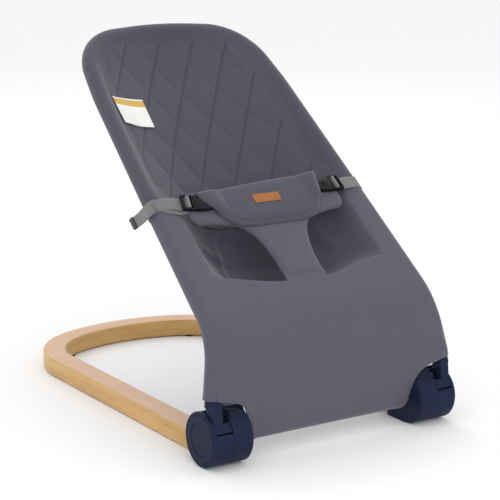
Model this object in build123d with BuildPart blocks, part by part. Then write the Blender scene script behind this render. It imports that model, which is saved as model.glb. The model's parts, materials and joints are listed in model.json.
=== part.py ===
"""Folding bouncer seat: a bentwood floor rail, two reclining hinges and a tubular seat frame
that carries a fabric cover with a buckled restraint. Millimetres, +Z up, the seat faces -Y.
The origin is on the floor under the middle of the whole seat."""
import os
from math import atan2, cos, degrees, radians, sin

from build123d import *

# Hinges: both drums share one axis, parallel to X
HINGE_Y = -280.0
HINGE_Z = 37.0
DRUM_R = 36.5
DRUM_WALL = 3.0
DRUM_INNER_X = 135.0
DRUM_OUTER_X = 195.0
SEAM_X = 165.0
SEAM_GAP = 0.4
DRUM_EDGE = 2.0
CAP_R = 21.7
CAP_DEPTH = 2.5
FIT = 0.05
CLEAR = 0.3
GROOVE_R = (32.2, 33.2)
GROOVE_DEPTH = 0.7
SPIGOT_END_X = 118.0

# Pivot bolt and bosses
BOLT_R = 4.0
BOLT_HEAD_R = 6.5
BOLT_HEAD_H = 5.0
BOLT_START_X = 140.0
BOLT_POCKET_R = 8.0
BOLT_HEAD_X = DRUM_OUTER_X - CAP_DEPTH - BOLT_HEAD_H - 0.5
INSERT_R = 5.6
INSERT_START_X = 139.0
INNER_BOSS_R = 8.0
OUTER_BOSS_R = 11.0

# Recline: the arm moves back from its front stop
RECLINE_DEG = 38.0
BOUNCE_DOWN_DEG = 5.0
BOUNCE_UP_DEG = 3.0
ARM_FRONT_DEG = 155.0
ARM_LEDGE_DEG = 134.0
WINDOW_FRONT_DEG = ARM_FRONT_DEG + BOUNCE_UP_DEG + 1.0
WINDOW_REAR_DEG = 58.0

# Latch ring: notches for the upright, middle, low and folded positions
RING_INNER_R = 22.5
RING_OUTER_R = 28.5
NOTCH_R = 25.8
NOTCH_W = 3.6
NOTCH_DEG = (0.0, 13.0, 26.0, RECLINE_DEG)
RING_X = 152.0
WEB_X = 158.0
WEB_END_X = 163.0

# Dogs on the ring that carry the arm, in slots that leave room for the bounce
DOG_R = (14.0, 21.0)
DOG_HALF = 14.0
DOG_DEG = (0.0, 180.0)
DOG_LENGTH = 8.0

# Swinging arm
ARM_X = (166.0, 189.4)
ARM_HUB_R = 27.0
UPRIGHT_X = 176.0
COLLAR_BELOW = 10.0
COLLAR_LENGTH = 14.8
ARM_SPIGOT = 34.0

# Release trigger: pressed straight down into the drum
TRIGGER_TRAVEL = 4.0
TRIGGER_X = (139.5, 162.5)
TRIGGER_LOW_Z = 25.5
TRIGGER_WINDOW_Y = (-23.6, 8.6)
STEM_X = (141.5, 149.5)
STEM_HALF = 4.0
STEM_FOOT_Z = 17.0
GUIDE_T = 2.0
NOSE_W = 3.0
NOSE_END_X = 157.0
NOSE_TOP_Z = 22.2
RIB_H = 0.9
RIB_W = 1.1
RIB_STEPS = (0.2, 0.4, 0.6, 0.8, 0.98)
SPRING_R = 2.2
SPRING_WIRE = 0.35
SPRING_TURNS = 4

# Screws: three join each drum's halves, two hold each end of the rail
POST_R = 2.4
POST_CIRCLE_R = 31.0
POST_DEG = (10, 180, 235)
SCREW_R = 1.2
SCREW_HEAD_R = 2.2
SCREW_HEAD_H = 1.3
SCREW_SINK = 1.5
CASE_SCREW_END_X = 175.0
RAIL_SCREW_Y = (14.0, 31.0)
RAIL_SCREW_Z = -22.0

# Wooden rail
RAIL_W = 34.4
RAIL_Z = 1.5
RAIL_H = 26.5
RAIL_EDGE = 2.0
RAIL_FRONT_X = 173.75
RAIL_WIDE_X = 181.4
RAIL_CORNER_Y = 452.0
RAIL_CORNER_R = 133.0
RAIL_CORNER_TURN = 70.0
BLOCK_REAR_Y = 39.5
BLOCK_TOP_Z = -6.0
BLOCK_OUTER_X = 177.8
TONGUE_X = (140.0, 150.5)
TONGUE_Z = (-32.0, -12.0)
TONGUE_Y = 7.0
TONGUE_GAP = 0.15
TONGUE_WALL = 3.0

# Rubber soles under the drums, feet under the back of the rail
SOLE_X = (143.0, 160.0)
SOLE_Y = (-3.0, 34.0)
SOLE_TOP = 3.0
SOLE_GAP = 0.1
FOOT_AT = ((-110.0, 262.0), (110.0, 262.0))
FOOT_R = 9.0
FOOT_PEG_R = 4.0
FOOT_PEG_H = 4.0

# Seat frame tube, in the plane of the seat: X, distance up the slope
SEAT_TILT = 38.0
SEAT_ORIGIN_Y = -81.4
SEAT_ORIGIN_Z = 67.8
TUBE_R = 9.0
TUBE_WALL = 1.5
SLEEVE_R = 11.0
LEG_FOOT = (184.5, -13.4, 55.5)
SIDE_POINTS = ((171.0, 103.0), (160.0, 345.0), (149.6, 535.0), (140.5, 604.0), (109.0, 650.0))
SIDE_RADII = (95.0, 900.0, 400.0, 90.0, 72.0)
TOP_S = 661.5
TOP_RADIUS = 500.0

# Fabric
CLOTH = 5.0
FRONT_OFFSET = 8.0
PAD = 7.0
EDGE_ROOM = 15.0
HEM_R = (10.0, 12.5)
STRIP_HEIGHT = (FRONT_OFFSET - CLOTH / 2, FRONT_OFFSET + CLOTH / 2)
BAND_HEIGHT = (10.8, 15.8)
FLAP_HEIGHT = (16.2, 23.5)
FLAP_HALF = 84.0
FLAP_TOP_S = 333.0
FLAP_CORNER_S = 292.0
FLAP_LOW_S = 259.0
TAG_S = 302.0
TAG_SIZE = (43.0, 15.5)
TAG_T = 1.0
LABEL_AT = (-105.5, 510.0, -8.6)
LABEL_TILT = 19.0
LABEL_SIZE = (54.0, 48.0)
LABEL_T = 0.6

# Straps and buckles, on one line across the seat
STRAP_S = 318.0
STRAP_W = 20.0
STRAP_T = 1.2
STRAP_CLEAR = 0.6
STRAP_START_X = 113.0
TAIL_X = -175.2
TAIL_START = (-129.0, 307.0)
TAIL_END = (-84.0, 277.0)
BUCKLE_H = (16.2, 22.2)
SOCKET_X = (86.0, 111.0)
SOCKET_WALL = 1.4
SOCKET_SIDE = 2.0
LATCH_SLOT_X = (96.0, 106.0)
PLUG_X = (111.6, 129.0)
LADDER_X = (115.5, 122.0)
LADDER_GAP = 4.0
BUCKLE_W = 25.0
PRONG_END_X = 92.0
PRONG_HALF = 1.4
PRONG_SPACING = 8.3

SEAT = Plane(
    origin=(0, HINGE_Y + SEAT_ORIGIN_Y, HINGE_Z + SEAT_ORIGIN_Z),
    x_dir=(1, 0, 0),
    z_dir=(0, -sin(radians(SEAT_TILT)), cos(radians(SEAT_TILT))),
)
HINGE_FRONT = Plane(origin=(0, HINGE_Y, HINGE_Z), x_dir=(1, 0, 0), z_dir=(0, -1, 0))


def across(x):
    """Plane square to the hinge axis at x: Y to the right, Z up, measured from the axis."""
    return Plane(origin=(x, HINGE_Y, HINGE_Z), x_dir=(0, 1, 0), z_dir=(1, 0, 0))


def station(s):
    """Plane across the seat, s up the slope: X to the right, height over the tube plane up."""
    normal = (0, -cos(radians(SEAT_TILT)), -sin(radians(SEAT_TILT)))
    return Plane(origin=SEAT.from_local_coords((0, s, 0)), x_dir=(1, 0, 0), z_dir=normal)


def over_seat(height):
    """Plane parallel to the seat, height above the tube's centre plane."""
    return SEAT.offset(height)


def from_hinge(x, y, z):
    return Vector(x, HINGE_Y + y, HINGE_Z + z)


def on_seat(x, s, height=0.0):
    return SEAT.from_local_coords((x, s, height))


def polar(radius, angle):
    return (radius * cos(radians(angle)), radius * sin(radians(angle)))


def save(part, name):
    part.label = name
    export_step(part, f"parts/{name}.step")


def save_pair(part, name):
    """The given solid is the one at +X. Its mirror image is the other side's."""
    save(part, f"{name}_right")
    with BuildPart() as other:
        add(mirror(part, about=Plane.YZ, mode=Mode.PRIVATE))
    save(other.part, f"{name}_left")


def save_group(part, name):
    """Both sides' small fasteners together in one node."""
    with BuildPart() as group:
        add(part)
        mirror(about=Plane.YZ)
    save(group.part, name)


def side_plane_box(x_low, x_high, y_low, y_high, z_low, z_high, mode=Mode.ADD):
    """A box measured from the hinge axis, for use inside a BuildPart block."""
    with BuildSketch(across(x_low)) as side:
        with Locations(((y_low + y_high) / 2, (z_low + z_high) / 2)):
            Rectangle(y_high - y_low, z_high - z_low)
    extrude(side.sketch, amount=x_high - x_low, mode=mode)


def disc(x_low, x_high, radius, mode=Mode.ADD, centre=(0, 0)):
    """A disc or bore parallel to the hinge axis, for use inside a BuildPart block."""
    with BuildSketch(across(x_low)) as end:
        with Locations(centre):
            Circle(radius)
    extrude(end.sketch, amount=x_high - x_low, mode=mode)


POST_AT = [polar(POST_CIRCLE_R, angle) for angle in POST_DEG]


def hinge_case_inner():
    """Fixed inner half of a hinge drum, with the socket for the rail's tongue."""
    seam = SEAM_X - SEAM_GAP / 2
    floor = DRUM_INNER_X + DRUM_WALL
    with BuildPart() as case:
        disc(DRUM_INNER_X, seam, DRUM_R)
        chamfer(case.edges().group_by(Axis.X)[0], DRUM_EDGE)
        side_plane_box(
            DRUM_INNER_X, BLOCK_OUTER_X, 0, BLOCK_REAR_Y, -HINGE_Z + 0.5, BLOCK_TOP_Z
        )
        disc(seam, BLOCK_OUTER_X, DRUM_R + CLEAR, Mode.SUBTRACT)
        disc(floor, seam, DRUM_R - DRUM_WALL, Mode.SUBTRACT)
        # window for the trigger, then the guides, bosses and screw posts inside
        window_low = TRIGGER_LOW_Z - TRIGGER_TRAVEL - CLEAR
        side_plane_box(
            TRIGGER_X[0] - 0.5, TRIGGER_X[1] + 0.5, *TRIGGER_WINDOW_Y, window_low, DRUM_R + 1,
            Mode.SUBTRACT,
        )
        guide = STEM_HALF + 0.4
        for side in (-1, 1):
            y_near, y_far = sorted((side * guide, side * (guide + GUIDE_T)))
            side_plane_box(floor - 0.5, STEM_X[1], y_near, y_far, INNER_BOSS_R, TRIGGER_LOW_Z)
        disc(floor - 0.5, STEM_X[1] + 1.0, INNER_BOSS_R)
        disc(STEM_X[1] + 1.0, WEB_END_X, INNER_BOSS_R)
        for at in POST_AT:
            disc(floor - 0.5, seam, POST_R, centre=at)
            disc(DRUM_INNER_X, seam, SCREW_R + FIT, Mode.SUBTRACT, at)
            disc(DRUM_INNER_X, DRUM_INNER_X + SCREW_SINK, SCREW_HEAD_R + FIT, Mode.SUBTRACT, at)
        # spigot that carries the cross tube
        disc(SPIGOT_END_X, DRUM_INNER_X, TUBE_R - TUBE_WALL - FIT)
        # threaded insert's seat, and the tongue's socket
        disc(INSERT_START_X, WEB_END_X, INSERT_R, Mode.SUBTRACT)
        gap = TONGUE_GAP
        side_plane_box(
            TONGUE_X[0] - gap, TONGUE_X[1] + gap, TONGUE_Y - gap, BLOCK_REAR_Y,
            TONGUE_Z[0] - gap, TONGUE_Z[1] + gap, Mode.SUBTRACT,
        )
        for y in RAIL_SCREW_Y:
            disc(DRUM_INNER_X, TONGUE_X[0], SCREW_R + FIT, Mode.SUBTRACT, (y, RAIL_SCREW_Z))
            disc(DRUM_INNER_X, DRUM_INNER_X + SCREW_SINK, SCREW_HEAD_R + FIT, Mode.SUBTRACT,
                 (y, RAIL_SCREW_Z))
        # pocket for the rubber sole
        side_plane_box(*SOLE_X, *SOLE_Y, -HINGE_Z - 1, -HINGE_Z + SOLE_TOP, Mode.SUBTRACT)
    return case.part


def hinge_case_outer():
    """Fixed outer half of a drum: its rim stays whole, and the arm swings in a window behind it."""
    seam = SEAM_X + SEAM_GAP / 2
    end = DRUM_OUTER_X - 3.5
    with BuildPart() as case:
        disc(seam, DRUM_OUTER_X, DRUM_R)
        chamfer(case.edges().group_by(Axis.X)[-1], DRUM_EDGE)
        disc(seam, end, DRUM_R - DRUM_WALL, Mode.SUBTRACT)
        disc(seam, end + 0.5, OUTER_BOSS_R)
        # window
        with BuildSketch(across(seam)):
            with BuildLine():
                Polyline(
                    (0, 0), polar(60, WINDOW_REAR_DEG), polar(60, 108), polar(60, WINDOW_FRONT_DEG),
                    close=True,
                )
            make_face()
            Circle(DRUM_R - DRUM_WALL - 1.0, mode=Mode.SUBTRACT)
        extrude(amount=ARM_X[1] + CLEAR - seam, mode=Mode.SUBTRACT)
        for at in POST_AT:
            disc(seam, end + 0.5, POST_R, centre=at)
            disc(seam, CASE_SCREW_END_X + 2, SCREW_R, Mode.SUBTRACT, at)
        # bolt hole, head pocket, cap pocket and the turned groove round the rim
        disc(seam, DRUM_OUTER_X, BOLT_R + FIT, Mode.SUBTRACT)
        disc(BOLT_HEAD_X, DRUM_OUTER_X, BOLT_POCKET_R, Mode.SUBTRACT)
        disc(DRUM_OUTER_X - CAP_DEPTH, DRUM_OUTER_X, CAP_R + 0.2, Mode.SUBTRACT)
        with BuildSketch(across(DRUM_OUTER_X - GROOVE_DEPTH)):
            Circle(GROOVE_R[1])
            Circle(GROOVE_R[0], mode=Mode.SUBTRACT)
        extrude(amount=GROOVE_DEPTH, mode=Mode.SUBTRACT)
    return case.part


def seat_arm():
    """Swinging arm: a hub disc on the outer boss, a root block, the arm, and the tube's spigot."""
    leg = from_hinge(*LEG_FOOT)
    knee = on_seat(*SIDE_POINTS[0])
    along = (knee - leg).normalized()
    with BuildPart() as arm:
        disc(ARM_X[0], ARM_X[1], ARM_HUB_R)
        # root block that meets the front of the window
        with BuildSketch(across(ARM_X[0])):
            with BuildLine():
                Polyline(
                    (0, 0), polar(40, ARM_LEDGE_DEG), polar(40, ARM_FRONT_DEG), close=True
                )
            make_face()
            Circle(DRUM_R - 0.6, mode=Mode.INTERSECT)
        extrude(amount=ARM_X[1] - ARM_X[0])
        # upright, leaning with the tube
        with BuildSketch(across(UPRIGHT_X)):
            Polygon((-8, 10), (-24, 10), (-26.5, 26), (-23.6, 52), (-4.5, 52), (-9, 26), align=None)
        extrude(amount=ARM_X[1] - UPRIGHT_X)
        # collar and spigot
        with BuildSketch(Plane(origin=leg - along * COLLAR_BELOW, z_dir=along)):
            Circle(TUBE_R)
        extrude(amount=COLLAR_LENGTH)
        with BuildSketch(Plane(origin=leg, z_dir=along)):
            Circle(TUBE_R - TUBE_WALL - FIT)
        extrude(amount=ARM_SPIGOT)
        # bearing bore and the two slots for the latch ring's dogs
        disc(ARM_X[0], ARM_X[1], OUTER_BOSS_R + FIT, Mode.SUBTRACT)
        spare = (BOUNCE_UP_DEG, BOUNCE_DOWN_DEG)
        for turn in DOG_DEG:
            with BuildSketch(across(ARM_X[0])):
                ring_sector(DOG_R[0] - CLEAR, DOG_R[1] + CLEAR,
                            turn - DOG_HALF - spare[0] - 1, turn + DOG_HALF + spare[1] + 1)
            extrude(amount=DOG_LENGTH + CLEAR, mode=Mode.SUBTRACT)
    return arm.part


def ring_sector(inner, outer, start, end):
    """Sector of a ring about the hinge axis, for use inside a BuildSketch block."""
    with BuildLine() as outline:
        CenterArc((0, 0), outer, start, end - start)
        Line(polar(outer, end), polar(inner, end))
        CenterArc((0, 0), inner, start, end - start)
        Line(polar(inner, start), polar(outer, start))
    make_face(outline.edges())


def latch_ring():
    """Ring with inward notches that the trigger's nose locks; its dogs carry the arm."""
    with BuildPart() as ring:
        disc(RING_X, WEB_END_X, RING_OUTER_R)
        disc(RING_X, WEB_X, RING_INNER_R, Mode.SUBTRACT)
        for turn in NOTCH_DEG:
            with BuildSketch(across(RING_X)):
                with BuildLine():
                    Line((0, 0), polar(NOTCH_R, 90 + turn))
                trace(line_width=NOTCH_W)
            extrude(amount=WEB_X - RING_X, mode=Mode.SUBTRACT)
        disc(RING_X, WEB_END_X, INNER_BOSS_R + FIT, Mode.SUBTRACT)
        for turn in DOG_DEG:
            with BuildSketch(across(WEB_END_X - 0.5)):
                ring_sector(DOG_R[0], DOG_R[1], turn - DOG_HALF, turn + DOG_HALF)
            extrude(amount=ARM_X[0] + DOG_LENGTH - WEB_END_X + 0.5)
    return ring.part


def release_trigger():
    """Ribbed trigger: thumb pad outside the drum, stem, and the nose inside the latch ring."""
    face_low, face_high = (-23.0, 28.4), (-14.5, 41.8)
    with BuildPart() as trigger:
        with BuildSketch(across(TRIGGER_X[0])):
            Polygon(
                (-23.0, TRIGGER_LOW_Z), face_low, face_high, (-12.0, 43.2), (5.0, 43.2),
                (8.0, 40.5), (8.0, 33.2), (-12.0, 33.2), (-19.0, 27.5), (-19.8, TRIGGER_LOW_Z),
                align=None,
            )
        extrude(amount=TRIGGER_X[1] - TRIGGER_X[0])
        along = Vector(face_high[0] - face_low[0], face_high[1] - face_low[1])
        slope = degrees(atan2(along.Y, along.X))
        for step in RIB_STEPS:
            at = (face_low[0] + along.X * step, face_low[1] + along.Y * step)
            with BuildSketch(across(TRIGGER_X[0] + 1.0)):
                with Locations(Location((at[0], at[1], 0), (0, 0, slope))):
                    Rectangle(RIB_W, 2 * RIB_H)
            extrude(amount=TRIGGER_X[1] - TRIGGER_X[0] - 2.0)
        side_plane_box(*STEM_X, -STEM_HALF, STEM_HALF, STEM_FOOT_Z, 34.0)
        side_plane_box(STEM_X[1] - 0.5, NOSE_END_X, -NOSE_W / 2, NOSE_W / 2, STEM_FOOT_Z, NOSE_TOP_Z)
    return trigger.part


def latch_spring():
    """Coil spring between the inner boss and the foot of the trigger's stem."""
    low = INNER_BOSS_R + SPRING_WIRE + 0.1
    high = STEM_FOOT_Z - SPRING_WIRE - 0.1
    middle = (STEM_X[0] + STEM_X[1]) / 2
    with BuildPart() as spring:
        with BuildLine(Plane(origin=from_hinge(middle, 0, low), z_dir=(0, 0, 1))):
            coil = Helix(pitch=(high - low) / SPRING_TURNS, height=high - low, radius=SPRING_R)
        with BuildSketch(Plane(origin=coil @ 0, z_dir=coil % 0)):
            Circle(SPRING_WIRE)
        sweep(is_frenet=True)
    return spring.part


def hinge_cap():
    with BuildPart() as cap:
        disc(DRUM_OUTER_X - CAP_DEPTH, DRUM_OUTER_X - 0.3, CAP_R)
        fillet(cap.edges().group_by(Axis.X)[-1], 0.8)
    return cap.part


def axle_bolt():
    with BuildPart() as bolt:
        disc(BOLT_START_X, BOLT_HEAD_X + 0.1, BOLT_R)
        with BuildSketch(across(BOLT_HEAD_X)):
            RegularPolygon(BOLT_HEAD_R, 6)
        extrude(amount=BOLT_HEAD_H)
    return bolt.part


def threaded_insert():
    with BuildPart() as insert:
        disc(INSERT_START_X, WEB_END_X, INSERT_R)
        disc(BOLT_START_X, WEB_END_X, BOLT_R, Mode.SUBTRACT)
    return insert.part


def screw(at, end_x):
    """Screw from the drum's inner face, its head in a sunk pocket, for use inside a block."""
    sunk = DRUM_INNER_X + SCREW_SINK
    disc(sunk - SCREW_HEAD_H, sunk, SCREW_HEAD_R, centre=at)
    disc(sunk, end_x, SCREW_R, centre=at)


def case_screws():
    with BuildPart() as screws:
        for at in POST_AT:
            screw(at, CASE_SCREW_END_X)
    return screws.part


def rail_screws():
    with BuildPart() as screws:
        for y in RAIL_SCREW_Y:
            screw((y, RAIL_SCREW_Z), TONGUE_X[1] - TONGUE_WALL)
    return screws.part


def cross_tube():
    """Steel tube on the hinge axis that joins the two drums."""
    half = DRUM_INNER_X - 0.1
    with BuildPart() as tube:
        disc(-half, half, TUBE_R)
        disc(-half, half, TUBE_R - TUBE_WALL, Mode.SUBTRACT)
    return tube.part


def rail_outline(inset, front):
    """U outline of the rail, inset from its outer edge, closed straight across at the front."""
    with BuildLine() as outline:
        limb = Line((RAIL_FRONT_X - inset, front), (RAIL_WIDE_X - inset, HINGE_Y + RAIL_CORNER_Y))
        corner = JernArc(limb @ 1, limb % 1, RAIL_CORNER_R - inset, RAIL_CORNER_TURN)
        heading = corner % 1
        turned = degrees(atan2(-heading.X, heading.Y))
        JernArc(corner @ 1, heading, (corner @ 1).X / heading.Y, 90 - turned)
        Line((0, front), limb @ 0)
        mirror(about=Plane.YZ)
    make_face(outline.edges())


def base_rail():
    """Bentwood U: two long limbs and a round back, with a tongue at each front end."""
    front = HINGE_Y + BLOCK_REAR_Y
    with BuildPart() as rail:
        with BuildSketch(Plane.XY.offset(RAIL_Z)):
            rail_outline(0, front)
        extrude(amount=RAIL_H)
        with BuildSketch(Plane.XY.offset(RAIL_Z)):
            rail_outline(RAIL_W, front - 1)
        extrude(amount=RAIL_H, mode=Mode.SUBTRACT)
        fillet(rail.edges().filter_by(GeomType.LINE, reverse=True).group_by(Axis.Z)[-1], RAIL_EDGE)
        for side in (-1, 1):
            x_low, x_high = sorted((side * TONGUE_X[0], side * TONGUE_X[1]))
            side_plane_box(x_low, x_high, TONGUE_Y, BLOCK_REAR_Y + 5, *TONGUE_Z)
        for side in (-1, 1):
            for y in RAIL_SCREW_Y:
                x_low, x_high = sorted((side * TONGUE_X[0], side * (TONGUE_X[1] - TONGUE_WALL)))
                disc(x_low, x_high, SCREW_R, Mode.SUBTRACT, (y, RAIL_SCREW_Z))
        with BuildSketch(Plane.XY.offset(RAIL_Z)):
            with Locations(*FOOT_AT):
                Circle(FOOT_PEG_R)
        extrude(amount=FOOT_PEG_H, mode=Mode.SUBTRACT)
    return rail.part


def rear_feet():
    with BuildPart() as feet:
        with BuildSketch():
            with Locations(*FOOT_AT):
                Circle(FOOT_R)
        extrude(amount=RAIL_Z)
        with BuildSketch(Plane.XY.offset(RAIL_Z)):
            with Locations(*FOOT_AT):
                Circle(FOOT_PEG_R - FIT)
        extrude(amount=FOOT_PEG_H - SOLE_GAP)
    return feet.part


def hinge_sole():
    with BuildPart() as sole:
        side_plane_box(
            SOLE_X[0] + SOLE_GAP, SOLE_X[1] - SOLE_GAP, SOLE_Y[0] + SOLE_GAP, SOLE_Y[1] - SOLE_GAP,
            -HINGE_Z, -HINGE_Z + SOLE_TOP - SOLE_GAP,
        )
        fillet(sole.edges().filter_by(Axis.Z), 3)
    return sole.part


def tube_route():
    """Points of the seat tube's centre line, from one hinge arm over the top to the other."""
    leg = from_hinge(*LEG_FOOT)
    knee = on_seat(*SIDE_POINTS[0])
    start = leg + (knee - leg).normalized() * 5.0
    right = [start] + [on_seat(x, s) for x, s in SIDE_POINTS]
    left = [Vector(-p.X, p.Y, p.Z) for p in reversed(right)]
    radii = list(SIDE_RADII) + [TOP_RADIUS] + list(reversed(SIDE_RADII))
    return right + [on_seat(0, TOP_S)] + left, radii


def swept_tube(outer, inner):
    points, radii = tube_route()
    with BuildPart() as tube:
        with BuildLine():
            route = FilletPolyline(*points, radius=radii)
        with BuildSketch(Plane(origin=route @ 0, z_dir=route % 0)):
            Circle(outer)
            Circle(inner, mode=Mode.SUBTRACT)
        sweep()
    return tube.part


def tube_half_width(s):
    """Half the spacing of the tube's centre line at s, along its long straight side."""
    (x0, s0), (x1, s1), (x2, s2) = SIDE_POINTS[:3]
    if s < s1:
        return x0 + (x1 - x0) * (s - s0) / (s1 - s0)
    return x1 + (x2 - x1) * (s - s1) / (s2 - s1)


def hanging_sheet(stations, thickness):
    """Sheet slung across the seat. Each station is (s, half width, edge height, sag)."""
    with BuildPart() as sheet:
        for s, half, edge, sag in stations:
            with BuildSketch(station(s)):
                with BuildLine():
                    ThreePointArc((-half, edge), (0, edge - sag), (half, edge))
                    Line((half, edge), (half, edge - thickness))
                    ThreePointArc(
                        (half, edge - thickness), (0, edge - sag - thickness), (-half, edge - thickness)
                    )
                    Line((-half, edge - thickness), (-half, edge))
                make_face()
        loft()
    return sheet.part


def back_panel():
    sags = ((334, 51), (430, 45), (520, 33))
    spots = [(s, tube_half_width(s) - EDGE_ROOM, 0.0, sag) for s, sag in sags]
    spots += [(585, 125.0, 0.0, 20.0), (620, 108.0, 0.0, 11.0), (637, 82.0, 0.0, 5.0)]
    return hanging_sheet(spots, PAD)


def seat_sling():
    depths = ((191.5, 1, 14), (215, 0, 50), (250, 0, 64), (290, 0, 62), (333, 0, 52))
    spots = [(s, tube_half_width(s) - EDGE_ROOM, edge, sag) for s, edge, sag in depths]
    return hanging_sheet(spots, CLOTH)


def front_skirt():
    """Front of the cover: round the cross tube, up in front of the legs, over on to the seat."""
    hem = ((0, -12.6), (123, -12.6), (124.5, 5), (128, 24), (133, 38), (140, 46), (152, 50), (170, 53))
    side = ((172, 57), (159, 131), (155, 189.3), (136, 189.3), (32, 177.6), (0, 177.6))
    with BuildPart() as skirt:
        with BuildSketch(across(0)):
            with BuildLine():
                end = across(0).to_local_coords(on_seat(0, 200, FRONT_OFFSET))
                FilletPolyline((-10, 0), (-21.4, 55), (-8, 135.4), (end.X, end.Y), radius=[60, 103])
            trace(line_width=CLOTH)
            Circle(HEM_R[1])
            Circle(HEM_R[0], mode=Mode.SUBTRACT)
        extrude(amount=180, both=True)
        with BuildSketch(HINGE_FRONT):
            with BuildLine():
                Polyline(*hem, *side, close=True)
            make_face()
            mirror(about=Plane.YZ)
        extrude(amount=200, both=True, mode=Mode.INTERSECT)
    return skirt.part


def flat_piece(points, low, high):
    """Flat piece parallel to the seat, from one height to another over the tube plane."""
    with BuildPart() as piece:
        with BuildSketch(over_seat(low)):
            with BuildLine():
                Polyline(*points, close=True)
            make_face()
        extrude(amount=high - low)
    return piece.part


def side_strip():
    outer = [(tube_half_width(s) - 12.0, s) for s in (192, 332)]
    inner = [(136, 332), (130, 275), (130, 238), (135, 192)]
    return flat_piece(outer + inner, *STRIP_HEIGHT)


def crotch_stem():
    right = [(32, 172.5), (31, 195), (36, 240), (38, 262), (38, 283)]
    left = [(-x, s) for x, s in reversed(right)]
    return flat_piece(right + left, *STRIP_HEIGHT)


def waist_band():
    points = [(-121, 279), (-60, 274), (60, 274), (121, 279), (121, 327), (-121, 327)]
    return flat_piece(points, *BAND_HEIGHT)


def restraint_flap():
    corners = [(-FLAP_HALF, FLAP_CORNER_S), (-FLAP_HALF, FLAP_TOP_S)]
    corners += [(FLAP_HALF, FLAP_TOP_S), (FLAP_HALF, FLAP_CORNER_S)]
    with BuildPart() as flap:
        with BuildSketch(over_seat(FLAP_HEIGHT[0])):
            with BuildLine():
                Polyline(*corners)
                ThreePointArc(corners[-1], (0, FLAP_LOW_S), corners[0])
            make_face()
        extrude(amount=FLAP_HEIGHT[1] - FLAP_HEIGHT[0])
        fillet(flap.edges().group_by(SortBy.LENGTH)[0], 3)
    return flap.part


def leather_tag():
    with BuildPart() as tag:
        with BuildSketch(over_seat(FLAP_HEIGHT[1] + 0.05)):
            with Locations((0, TAG_S)):
                RectangleRounded(*TAG_SIZE, 1.0)
        extrude(amount=TAG_T)
    return tag.part


def care_label():
    """Sewn label that lies across the hollow of the back, on its left side."""
    x, s, height = LABEL_AT
    place = station(s).location * Location((x, height, 0), (0, 0, -LABEL_TILT))
    with BuildPart() as label:
        with BuildSketch(Plane(place)):
            Rectangle(LABEL_SIZE[0], LABEL_T)
        extrude(amount=LABEL_SIZE[1] / 2, both=True)
    return label.part


def on_strap_line(x_low, x_high, half, low, high, mode=Mode.ADD, middle=0.0):
    """Block on the strap's line: X range, half width up the slope, height range."""
    with BuildSketch(over_seat(low)) as top:
        with Locations(((x_low + x_high) / 2, STRAP_S + middle)):
            Rectangle(x_high - x_low, 2 * half)
    extrude(top.sketch, amount=high - low, mode=mode)


def buckle_socket():
    half = BUCKLE_W / 2
    with BuildPart() as socket:
        on_strap_line(*SOCKET_X, half, *BUCKLE_H)
        fillet(socket.edges().filter_by(Axis(SEAT.origin, SEAT.z_dir)), 3)
        hollow = (BUCKLE_H[0] + SOCKET_WALL, BUCKLE_H[1] - SOCKET_WALL)
        on_strap_line(PRONG_END_X - 1, SOCKET_X[1], half - SOCKET_SIDE, *hollow, Mode.SUBTRACT)
        for side in (-1, 1):
            on_strap_line(*LATCH_SLOT_X, 1.5, *BUCKLE_H, Mode.SUBTRACT, side * (half - 1.0))
    return socket.part


def buckle_plug():
    """Plug with two side prongs and a centre guide, and a ladder frame for the webbing."""
    half = BUCKLE_W / 2
    prong = (BUCKLE_H[0] + 1.8, BUCKLE_H[1] - 1.8)
    with BuildPart() as plug:
        on_strap_line(*PLUG_X, half, BUCKLE_H[0], BUCKLE_H[1] - 1.0)
        fillet(plug.edges().filter_by(Axis(SEAT.origin, SEAT.z_dir)), 2)
        for x_low in LADDER_X:
            on_strap_line(x_low, x_low + LADDER_GAP, STRAP_W / 2 + 0.4, *BUCKLE_H, Mode.SUBTRACT)
        for step in (-1, 0, 1):
            on_strap_line(PRONG_END_X, PLUG_X[0] + 1.0, PRONG_HALF, *prong,
                          middle=step * PRONG_SPACING)
    return plug.part


def strap():
    """Webbing from over the buckle's ladder, out and round the seat tube."""
    centre = tube_half_width(STRAP_S)
    radius = SLEEVE_R + STRAP_CLEAR + STRAP_T / 2
    over = BUCKLE_H[1] + 0.1 + STRAP_T / 2
    route = ((STRAP_START_X, over), (131, over), (142, radius), (centre, radius))
    with BuildPart() as webbing:
        with BuildSketch(station(STRAP_S)):
            with BuildLine():
                FilletPolyline(*route, radius=[5, 5])
                CenterArc((centre, 0), radius, 90, -180)
                Line((centre, -radius), (centre - 9, -radius))
            trace(line_width=STRAP_T)
        extrude(amount=STRAP_W / 2, both=True)
    return webbing.part


def strap_tail():
    """Spare webbing that hangs back and down outside the tube on the left."""
    with BuildPart() as tail:
        with BuildSketch(Plane(origin=(TAIL_X, 0, 0), x_dir=(0, 1, 0), z_dir=(1, 0, 0))):
            with BuildLine():
                Line(TAIL_START, TAIL_END)
            trace(line_width=STRAP_W)
        extrude(amount=-STRAP_T)
    return tail.part


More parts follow.
